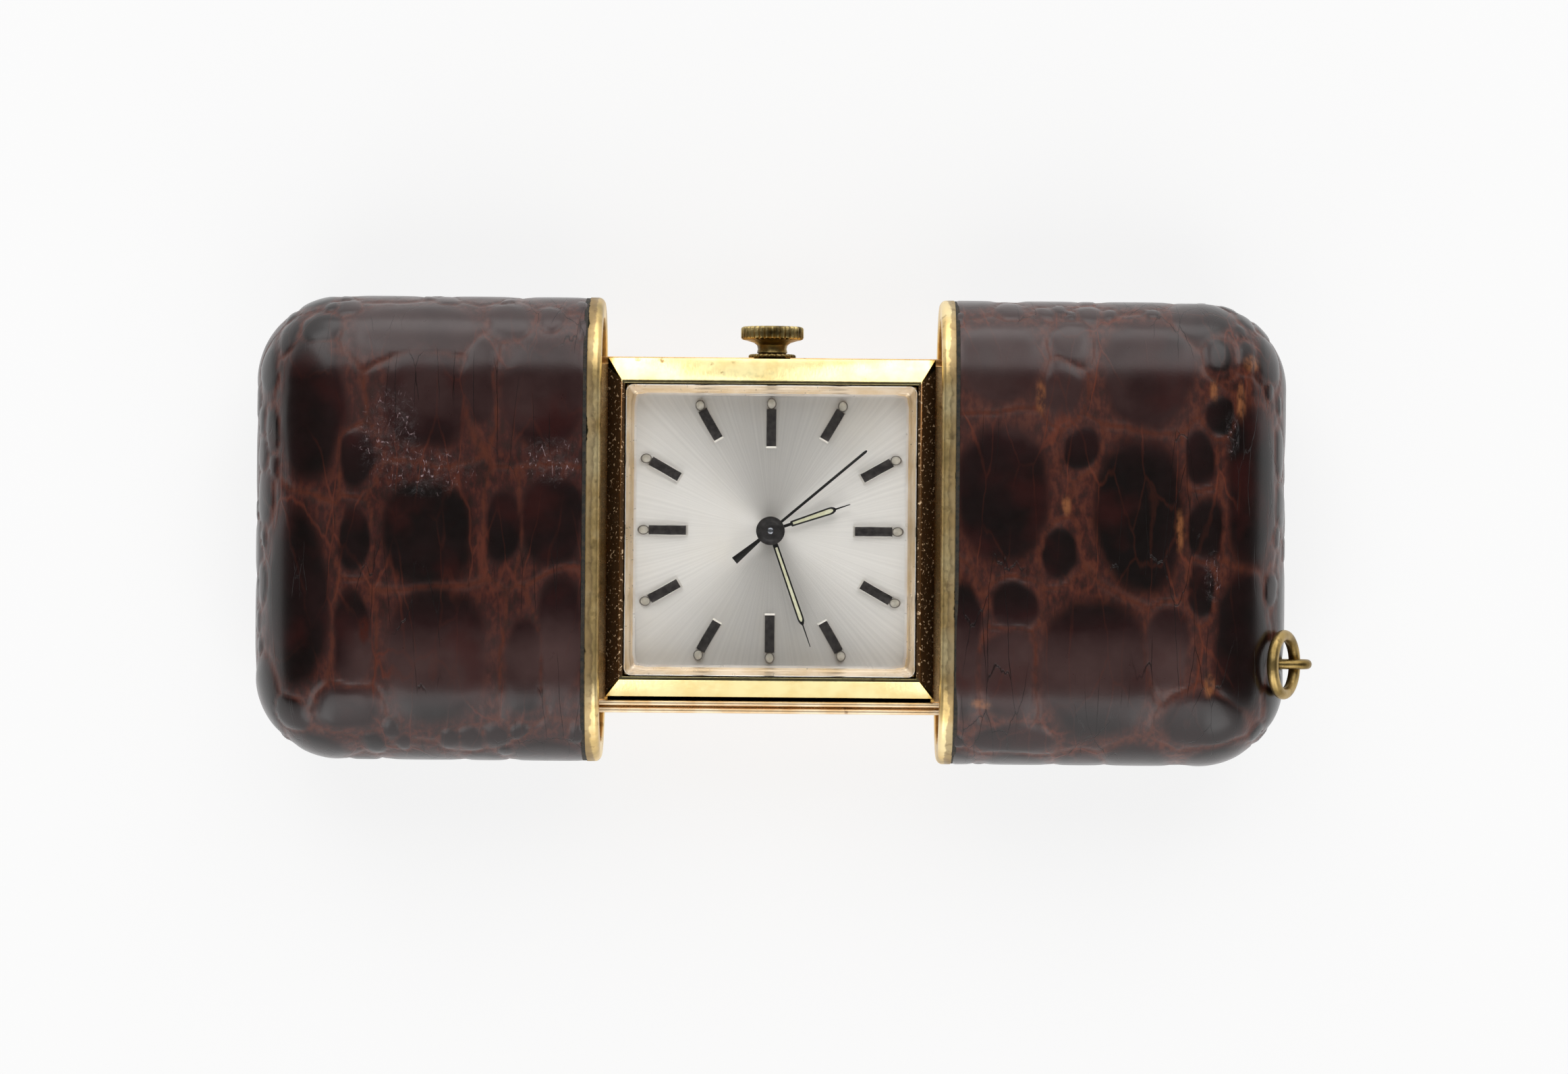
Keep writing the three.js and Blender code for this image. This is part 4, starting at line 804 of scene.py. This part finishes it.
def leather_cover(side, word, table, crinkles_and_glints, worn, material, seed):
    low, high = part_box(f"{word}_leather_cover")
    mouth, end = sorted(abs(x - CENTRE.x) for x in (low.x, high.x))
    outer = skin_grid(shell_profile(mouth, end, 0.0, *SKIN_STEPS), side, RING_STEPS)
    inner = skin_grid(shell_profile(mouth, end, LEATHER, *INNER_STEPS), side, RING_STEPS)
    normals = grid_normals(outer, side)
    scales = Scales(outer, normals)
    for row in table:
        scales.add_at(*row)
    scales.fill(seed)
    places = scales.places
    oval = 1 - smoothstep(scales.nearest, SCALE_EDGE_START, SCALE_EDGE_END)
    from_mouth = np.abs(places[:, 0] - CENTRE.x) - mouth
    roll = np.clip(1 - from_mouth / MOUTH_ROLL_LENGTH, 0, 1) ** 2
    crease = (1 - smoothstep(scales.second - scales.nearest, 0, CREASE_WIDTH)) * (1 - oval)
    depth = GROOVE_DEPTH * (1 - oval) + SCALE_DOME * np.clip(scales.nearest, 0, 1) ** 3
    depth += CREASE_DEPTH * crease + WRINKLE_HEIGHT * (1 - oval) * (0.5 + wrinkles(places))
    depth = np.clip(depth, 0, None) + MOUTH_ROLL * roll
    if side > 0:
        for leg in LEGS:
            apart = np.linalg.norm(places - leg, axis=1) / LEG_DIMPLE_RADIUS
            depth += LEG_DIMPLE * np.exp(-apart ** 2)
    moved = places - scales.normals * depth[:, None]
    inner_points = inner[::-1].reshape(-1, 3)
    points = np.vstack([inner_points, moved])
    draw = random.Random(seed)
    own_tone = np.array([draw.uniform(0, OWN_TONE) for _ in range(scales.count)])[scales.owner]
    # The tone attribute is each scale's own random tone plus the painted sheen along the long
    # edges.
    looks = {
        "oval": oval, "crease": crease, "tone": own_tone + painted_sheen(places),
        # The crinkle attribute drives both the crinkled relief and the painted glints.
        "crinkle": patches(places, scales.normals, crinkles_and_glints),
        "worn": patches(places, scales.normals, worn),
    }
    hidden = np.zeros(len(inner_points))
    looks = {key: np.hstack([hidden, values]) for key, values in looks.items()}
    faces = grid_faces(len(inner) + len(outer), outer.shape[1])
    made = mesh_object(f"{word}_crocodile_cover", points, faces, material, 70, looks)
    belongs(made, f"{word}_shell", "leather", f"{word}_leather_cover")


def rounded_profile(near, far, top, bottom, radius, inner_radius):
    """Places and insets round a rectangle, whose near upper corner has its own radius."""
    profile = []
    corners = ((far - radius, top + radius, radius),
               (near + inner_radius, top + inner_radius, inner_radius),
               (near + radius, bottom - radius, radius), (far - radius, bottom - radius, radius))
    for quarter, (place, inset, bend) in enumerate(corners):
        for step in range(ROUND_STEPS + 1):
            angle = (quarter + step / ROUND_STEPS) * math.pi / 2
            profile.append((place + bend * math.cos(angle), inset - bend * math.sin(angle)))
    return profile


def shell_band(name, side, profile, material, near, far):
    """A band round a shell's mouth, with its place between near and far as an attribute."""
    grid = skin_grid(profile, side, RIM_RING_STEPS)
    points = grid.reshape(-1, 3)
    share = (np.abs(points[:, 0] - CENTRE.x) - near) / (far - near)
    faces = grid_faces(*grid.shape[:2], wrap_rows=True)
    return mesh_object(name, points, faces, material, 40, {"leather_edge": share})


def mouth_rim(side, word):
    low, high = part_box(f"{word}_mouth_rim")
    near, far = sorted(abs(x - CENTRE.x) for x in (low.x, high.x))
    profile = rounded_profile(near, far, 0.0, SHELL_WALL, RIM_EDGE, RIM_INNER_EDGE)
    rim = shell_band(f"{word}_worn_rim", side, profile, RIM_GOLD, near, far)
    belongs(rim, f"{word}_shell", "gold_plate", f"{word}_mouth_rim")
    start = far - SEAM_UNDER_RIM
    end = far + SEAM_UNDER_LEATHER
    radius = SEAM_UNDER_RIM / 2
    profile = rounded_profile(start, end, SEAM_DEPTH, SEAM_DEPTH + SEAM_THICKNESS, radius, radius)
    seam = shell_band(f"{word}_rim_seam", side, profile, SEAM, start, end)
    belongs(seam, f"{word}_shell", "leather")


def turned(name, profile, origin, axis, material, columns=64, ribs=0, depth=0.0, wrap=True):
    """A profile of (radius, along, rib share) in millimetres, turned about the Y or Z axis."""
    points = []
    for radius, along, share in profile:
        for column in range(columns):
            angle = 2 * math.pi * column / columns
            wave = RIB_ROUNDNESS * math.sin(ribs * angle / 2) if ribs else 0.0
            valley = 1 - math.sqrt(1 - wave ** 2)
            reach = (radius - depth * share * valley) * MM
            across = (reach * math.cos(angle), reach * math.sin(angle))
            if axis == "Y":
                points.append(origin + Vector((across[0], along * MM, across[1])))
            else:
                points.append(origin + Vector((*across, along * MM)))
    faces = grid_faces(len(profile), columns, wrap_rows=wrap)
    return mesh_object(name, points, faces, material, 32)


def place_on_stem(node):
    """Where a CAD node round the stem starts, and its length and radius in millimetres."""
    low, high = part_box(node)
    origin = Vector(((low.x + high.x) / 2, low.y, (low.z + high.z) / 2))
    return origin, (high.y - low.y) / MM, (high.x - low.x) / 2 / MM


def crown():
    origin, top, radius = place_on_stem("crown")
    profile = [
        (0.0, top - 0.5, 0), (0.53, top - 0.5, 0), (0.53, 0.0, 0), (1.0, 0.0, 0),
        (1.12, 0.08, 0), (1.06, 0.35, 0), (1.12, 0.62, 0), (1.35, 0.8, 0), (1.9, 0.97, 0),
        (radius - 0.16, 1.02, 0.6),
        (radius - 0.05, 1.08, 1), (radius, 1.18, 1), (radius, top - 0.18, 1),
        (radius - 0.05, top - 0.08, 1), (radius - 0.16, top - 0.02, 0.7), (1.7, top - 0.06, 0.1),
        (1.45, top - 0.09, 0), (0.0, top - 0.02, 0),
    ]
    made = turned("fluted_crown", profile, origin, "Y", AGED_BRASS, CROWN_RIBS * RIB_STEPS,
                  CROWN_RIBS, RIB_DEPTH, wrap=False)
    belongs(made, "crown", "aged_brass", "crown")


def crown_tube():
    origin, top, radius = place_on_stem("stem_tube")
    flange = top - 0.32
    profile = [
        (0.76, 0.0, 0), (0.98, 0.0, 0), (1.0, 0.03, 0), (1.0, flange, 0),
        (radius - 0.12, flange, 0), (radius - 0.03, flange + 0.06, 1), (radius, flange + 0.16, 1),
        (radius - 0.03, top - 0.06, 1), (radius - 0.12, top, 0.3), (1.3, top, 0),
        (1.24, top - 0.04, 0), (0.8, top - 0.04, 0), (0.76, top - 0.08, 0),
    ]
    made = turned("beaded_collar", profile, origin, "Y", AGED_BRASS, COLLAR_BEADS * RIB_STEPS,
                  COLLAR_BEADS, BEAD_DEPTH)
    belongs(made, "watch", "aged_brass", "stem_tube")


def plate(name, outline, low, high, place, material, edge):
    """A flat prism over an outline in millimetres, softened along its edges."""
    count = len(outline)
    points = [place @ Vector((x * MM, y * MM, z)) for z in (low, high) for x, y in outline]
    faces = [tuple(range(count)), tuple(range(count, 2 * count))]
    faces += grid_faces(2, count)
    return soften(mesh_object(name, points, faces, material), edge * MM)


def clockwise(degrees):
    """The dial's centre, turned to a place that many degrees from 12 o'clock."""
    turn = Matrix.Rotation(-math.radians(degrees), 4, "Z")
    return Matrix.Translation((CENTRE.x, CENTRE.y, 0)) @ turn


def both_sides(half_outline):
    """A closed outline from its right half, (half width, place along the hand)."""
    return half_outline + [(-x, y) for x, y in reversed(half_outline) if x]


def hand(word, blade, bore, angle, body, lume=None):
    """A flat blade on a hub ring, with its strip of lume."""
    low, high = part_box(f"{word}_hand")
    made = plate(f"{word}_hand_blade", both_sides(blade), low.z, high.z, clockwise(angle),
                 HAND_BLACK, HAND_EDGE)
    belongs(made, body, "hand_black", f"{word}_hand")
    thick = (high.z - low.z) / MM
    ring = [(bore, 0.0, 0), (HUB_RADIUS, 0.0, 0), (HUB_RADIUS, thick - HAND_EDGE, 0),
            (HUB_RADIUS - HAND_EDGE, thick, 0), (bore, thick, 0)]
    hub = turned(f"{word}_hand_hub", ring, Vector((CENTRE.x, CENTRE.y, low.z)), "Z", HAND_BLACK, 72)
    belongs(hub, body, "hand_black")
    if lume:
        made = plate(f"{word}_hand_lume", both_sides(lume), high.z - LUME_RISE * MM,
                     high.z + LUME_RISE * MM, clockwise(angle), LUME, HAND_EDGE)
        belongs(made, body, "hand_black")


def hands():
    hand("hour", HOUR_BLADE, HOUR_BORE, HOUR_ANGLE, "hour_arbor", HOUR_LUME)
    hand("minute", MINUTE_BLADE, MINUTE_BORE, MINUTE_ANGLE, "minute_arbor", MINUTE_LUME)
    hand("seconds", SECONDS_BLADE, SECONDS_BORE, SECONDS_ANGLE, "seconds_arbor")
    _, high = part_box("seconds_hand")
    origin = Vector((CENTRE.x, CENTRE.y, high.z))
    boss = [(0.0, 0.02, 0), (0.0, -0.01, 0), (0.98, -0.01, 0), (1.03, 0.02, 0), (0.99, 0.06, 0),
            (0.72, 0.07, 0), (0.68, 0.095, 0), (0.55, 0.1, 0), (0.5, 0.075, 0), (0.24, 0.08, 0)]
    made = turned("seconds_boss", boss, origin, "Z", BOSS_BLACK, 72, wrap=False)
    belongs(made, "seconds_arbor", "hand_black")
    pin = [(0.0, 0.0, 0), (0.22, 0.0, 0), (0.22, 0.1, 0), (0.16, 0.13, 0), (0.0, 0.135, 0)]
    made = turned("seconds_pin", pin, origin, "Z", STEEL, 32, wrap=False)
    belongs(made, "seconds_arbor", "steel")


def marker(hour):
    """A bar with a bright facet to the centre, a dark inlay and a ringed dot of lume."""
    start, end = LONG_MARKER if hour % 3 == 0 else SHORT_MARKER
    place = clockwise(30 * hour)
    base = DIAL_TOP
    top = DIAL_TOP + MARKER_HEIGHT * MM
    rows = [
        (start - MARKER_FACET, MARKER_HALF, base), (start, MARKER_HALF - MARKER_SLOPE, top),
        (end, MARKER_HALF - MARKER_SLOPE, top), (end + MARKER_SLOPE, MARKER_HALF, base),
    ]
    points = [place @ Vector((s * half * MM, y * MM, z)) for y, half, z in rows for s in (-1, 1)]
    faces = [(2 * i, 2 * i + 1, (2 * i + 3) % 8, (2 * i + 2) % 8) for i in range(4)]
    faces += [(0, 2, 4, 6), (7, 5, 3, 1)]
    bar = mesh_object(f"marker_{hour}_bar", points, faces, MARKER_STEEL)
    soften(bar, MARKER_EDGE * MM)
    belongs(bar, "watch", "marker_dark", f"hour_marker_{hour}")
    outline = [(-INLAY_HALF, start), (INLAY_HALF, start), (INLAY_HALF, end), (-INLAY_HALF, end)]
    inlay = plate(f"marker_{hour}_inlay", outline, top - INLAY_RISE * MM, top + INLAY_RISE * MM,
                  place, INLAY, MARKER_EDGE)
    belongs(inlay, "watch", "marker_dark")
    centre = place @ Vector((0, (end + DOT_REACH) * MM, base))
    ring = [(DOT_LUME, 0.0, 0), (DOT_RADIUS, 0.0, 0), (DOT_RADIUS, DOT_HEIGHT - 0.04, 0),
            (DOT_RADIUS - 0.03, DOT_HEIGHT, 0), (DOT_LUME + 0.01, DOT_HEIGHT, 0),
            (DOT_LUME, DOT_HEIGHT - 0.02, 0)]
    ring = turned(f"marker_{hour}_ring", ring, centre, "Z", DOT_GREY, 32)
    belongs(ring, "watch", "marker_dark")
    dot = [(0.0, 0.0, 0), (DOT_LUME, 0.0, 0), (DOT_LUME, DOT_HEIGHT - 0.03, 0),
           (0.6 * DOT_LUME, DOT_HEIGHT + 0.01, 0), (0.0, DOT_HEIGHT + 0.03, 0)]
    dot = turned(f"marker_{hour}_lume", dot, centre, "Z", DOT_CREAM, 32, wrap=False)
    belongs(dot, "watch", "marker_dark")


def square_stack(name, profile, material, loop):
    """Rounded squares round the dial: (half size, height, corner radius), in millimetres."""
    points = []
    count = 4 * (SQUARE_CORNER_STEPS + 1)
    for half, height, corner in profile:
        for quarter in range(4):
            turn = Matrix.Rotation(quarter * math.pi / 2, 2)
            for step in range(SQUARE_CORNER_STEPS + 1):
                angle = step / SQUARE_CORNER_STEPS * math.pi / 2
                x = half - corner + corner * math.cos(angle)
                y = half - corner + corner * math.sin(angle)
                across = turn @ Vector((x, y))
                points.append((CENTRE.x + across.x * MM, CENTRE.y + across.y * MM, height * MM))
    faces = grid_faces(len(profile), count, wrap_rows=loop)
    if not loop:
        faces += [tuple(range(count)), tuple(range(len(points) - count, len(points)))]
    return mesh_object(name, points, faces, material, 40)


def square_place(node):
    """Half size, bottom and top of a square CAD node, in millimetres."""
    low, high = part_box(node)
    return (high.x - low.x) / 2 / MM, low.z / MM, high.z / MM


def rail_beads():
    """Half-round lips on the two ridges of the carrier's lower rail."""
    low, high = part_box("carrier_frame")
    width = (RAIL_WIDTH - RAIL_GROOVE) / 2
    for number, start in enumerate((low.y, low.y + RAIL_WIDTH - width), 1):
        section = [(start, high.z - BEAD_SINK), (start + width, high.z - BEAD_SINK)]
        for step in range(BEAD_STEPS + 1):
            angle = step / BEAD_STEPS * math.pi
            section.append((start + width * (1 + math.cos(angle)) / 2,
                            high.z + BEAD_RISE * math.sin(angle)))
        count = len(section)
        points = [(x, y, z) for x in (low.x, high.x) for y, z in section]
        faces = grid_faces(2, count) + [tuple(range(count)), tuple(range(count, 2 * count))]
        made = mesh_object(f"lower_rail_bead_{number}", points, faces, RAIL_GOLD, 50)
        belongs(made, "watch", "gold_plate")


def rehaut():
    half, bottom, top = square_place("rehaut_ring")
    foot_inset, foot_corner = REHAUT_FOOT
    profile = [(half, bottom, REHAUT_CORNER)]
    profile += [(half - inset, top - drop, corner) for inset, drop, corner in REHAUT]
    profile.append((half - foot_inset, bottom, foot_corner))
    made = square_stack("stepped_rehaut", profile, PALE_GOLD, loop=True)
    belongs(made, "watch", "gold_plate", "rehaut_ring")
    outer = half - DIAL_LINE_INSET
    inner = outer - DIAL_LINE_WIDTH
    crest = bottom + DIAL_LINE_HEIGHT
    corners = ((outer, bottom), (outer, crest), (inner, crest), (inner, bottom))
    profile = [(place, height, DIAL_LINE_CORNER) for place, height in corners]
    made = square_stack("dial_edge_line", profile, EDGE_WHITE, loop=True)
    belongs(made, "watch", "gold_plate")


def crystal():
    half, bottom, top = square_place("crystal")
    corner = CRYSTAL_DOME[0][2]
    profile = [(half - CRYSTAL_EDGE, bottom, corner - CRYSTAL_EDGE),
               (half, bottom + CRYSTAL_EDGE, corner)]
    profile += [(half - inset, top - drop, corner) for inset, drop, corner in CRYSTAL_DOME]
    made = square_stack("crystal_soft_edges", profile, CRYSTAL, loop=False)
    belongs(made, "watch", "crystal", "crystal")


def tube(name, path, radius, material, closed):
    """A round wire along a path."""
    points = []
    count = len(path)
    binormal = Vector((0, 1, 0)) if not closed else (path[1] - path[0]).cross(path[2] - path[1])
    binormal.normalize()
    for index, point in enumerate(path):
        before = path[index - 1] if closed or index else point
        after = path[(index + 1) % count] if closed or index < count - 1 else point
        tangent = (after - before).normalized()
        normal = binormal.cross(tangent).normalized()
        for side in range(WIRE_SIDES):
            angle = 2 * math.pi * side / WIRE_SIDES
            points.append(point + radius * (math.cos(angle) * normal + math.sin(angle) * binormal))
    faces = grid_faces(count, WIRE_SIDES, wrap_rows=closed)
    if not closed:
        end = (count - 1) * WIRE_SIDES
        faces += [tuple(range(WIRE_SIDES)), tuple(range(end, end + WIRE_SIDES))]
    return mesh_object(name, points, faces, material)


eye_low, eye_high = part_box("lanyard_eyelet")
EYE_WIRE = (eye_high.y - eye_low.y) / 2
EYE_BEND = (eye_high.z - eye_low.z) / 2 - EYE_WIRE
EYE = Vector((eye_high.x - EYE_WIRE - EYE_BEND, (eye_high.y + eye_low.y) / 2,
              (eye_high.z + eye_low.z) / 2))
_, cover_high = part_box("right_leather_cover")
LEGS = [np.array((cover_high.x, EYE.y, EYE.z + s * EYE_BEND)) for s in (-1, 1)]


def eyelet_and_ring():
    path = [Vector((eye_low.x, EYE.y, EYE.z - EYE_BEND))]
    for step in range(STAPLE_POINTS + 1):
        angle = (step / STAPLE_POINTS - 0.5) * math.pi
        path.append(EYE + EYE_BEND * Vector((math.cos(angle), 0, math.sin(angle))))
    path.append(Vector((eye_low.x, EYE.y, EYE.z + EYE_BEND)))
    made = tube("lanyard_staple", path, EYE_WIRE, RING_BRASS, closed=False)
    belongs(made, "right_shell", "aged_brass", "lanyard_eyelet")
    lean = Vector((math.cos(RING_LEAN), 0, math.sin(RING_LEAN)))
    centre = EYE + RING_RADIUS * lean
    path = []
    for step in range(RING_POINTS):
        angle = 2 * math.pi * step / RING_POINTS
        across = math.sin(angle) * Vector((0, 1, 0))
        path.append(centre + RING_RADIUS * (math.cos(angle) * lean + across))
    made = tube("lanyard_wire_ring", path, RING_WIRE, RING_BRASS, closed=True)
    belongs(made, "lanyard_ring", "aged_brass", "lanyard_ring")


# The part

BODIES = frame["record"]["behaviour"]["bodies"]
BODY_OF = {node: body for body, nodes in BODIES.items() for node in nodes}
SLOT_OF = {node: made.material_slots[0].material.name for node, made in frame["nodes"].items()}

for made in frame["nodes"].values():
    for slot in made.material_slots:
        slot.material = SLOT_FINISH[slot.material.name]

for node in ("left_friction_spring", "right_friction_spring"):
    frame["nodes"][node].material_slots[0].material = SPRING_BRASS

leather_cover(-1, "left", LEFT_SCALES, LEFT_CRINKLES_AND_GLINTS, LEFT_WORN, LEFT_LEATHER, 11)
leather_cover(1, "right", RIGHT_SCALES, RIGHT_CRINKLES_AND_GLINTS, RIGHT_WORN, RIGHT_LEATHER, 23)
mouth_rim(-1, "left")
mouth_rim(1, "right")
refined("carrier_frame", "carrier_soft_edges", CARRIER_GOLD, 0.05 * MM)
refined("bezel_frame", "bezel_soft_edges", BEZEL_GOLD, 0.04 * MM)
refined("case_body", "case_soft_edges", CARRIER_GOLD, 0.05 * MM)
refined("case_back", "case_back_soft_edges", CARRIER_GOLD, 0.06 * MM)
rail_beads()
rehaut()
crystal()
crown()
crown_tube()
eyelet_and_ring()
hands()
for hour in range(1, 13):
    marker(hour)


# Camera, lights and floor

def camera():
    data = bpy.data.cameras.new("camera")
    data.sensor_width = SENSOR
    data.lens = SENSOR * CAMERA_HEIGHT / FRAME_WIDTH
    data.clip_start = CLIP_START
    made = bpy.data.objects.new("camera", data)
    made.location = (CAMERA_X, CAMERA_Y, MIDDLE + CAMERA_HEIGHT)
    made.rotation_euler = (0, 0, CAMERA_ROLL)
    bpy.context.scene.collection.objects.link(made)
    bpy.context.scene.camera = made


def corner_lamps():
    """Large soft lamps that face the watch from its four corners."""
    for number, (x, y) in enumerate(LAMP_PLACES, 1):
        name = f"corner_lamp_{number}"
        data = bpy.data.lights.new(name, "AREA")
        data.shape = "RECTANGLE"
        data.size, data.size_y = LAMP_SIZE
        data.energy = LAMP_POWER
        made = bpy.data.objects.new(name, data)
        made.location = (x, y, LAMP_HEIGHT)
        made.rotation_euler = (-Vector(made.location)).to_track_quat("-Z", "Y").to_euler()
        bpy.context.scene.collection.objects.link(made)


def studio():
    """White at the horizon and to the front and back, dark overhead and to the sides."""
    world = bpy.data.worlds.new("studio")
    world.use_nodes = True
    bpy.context.scene.world = world
    tree = Nodes(world.node_tree)
    direction = tree.node("ShaderNodeTexCoord").outputs["Generated"]
    parts = tree.node("ShaderNodeSeparateXYZ", {0: direction}).outputs
    across = tree.math("ABSOLUTE", parts[1])
    level = tree.fade(across, 0.2, 0.9, 0.05, 1.12)
    level = tree.plus(level, tree.fade(parts[1], 0.9, 0.98, 0.0, 1.5))
    level = tree.math("MAXIMUM", level, tree.fade(parts[2], 0.05, 0.2, 1.0, 0.0))
    light = tree.node("ShaderNodeBackground", {"Color": (1, 1, 1, 1), "Strength": level}).outputs[0]
    white = tree.node("ShaderNodeBackground", {"Color": (1, 1, 1, 1), "Strength": 1.0}).outputs[0]
    seen = tree.node("ShaderNodeLightPath").outputs["Is Camera Ray"]
    both = tree.node("ShaderNodeMixShader", {0: seen, 1: light, 2: white}).outputs[0]
    tree.node("ShaderNodeOutputWorld", {"Surface": both})


def floor():
    """Pale floor, white where it is seen, that keeps a faint shadow."""
    tree = Tree("pale_floor", Roughness=0.9, Specular_IOR_Level=0.1)
    tree.colour(tree.mix(tree.noise(0.02, 2), "#f6f6f5", "#fafafa"))
    white = tree.node("ShaderNodeEmission", {"Color": (1, 1, 1, 1), "Strength": 1.0}).outputs[0]
    rays = tree.node("ShaderNodeLightPath").outputs
    seen = tree.math("MAXIMUM", rays["Is Camera Ray"], rays["Is Glossy Ray"])
    seen = tree.math("MAXIMUM", seen, rays["Is Transmission Ray"])
    share = tree.times(seen, FLOOR_WHITE)
    both = tree.node("ShaderNodeMixShader", {0: share, 1: tree.shader.outputs[0], 2: white})
    tree.links.new(both.outputs[0], tree.output.inputs["Surface"])
    half = FLOOR_HALF
    points = [(-half, -half, 0), (half, -half, 0), (half, half, 0), (-half, half, 0)]
    mesh_object("pale_floor", points, [(0, 1, 2, 3)], tree.material)


camera()
corner_lamps()
studio()
floor()
bpy.context.scene.view_settings.view_transform = "Standard"
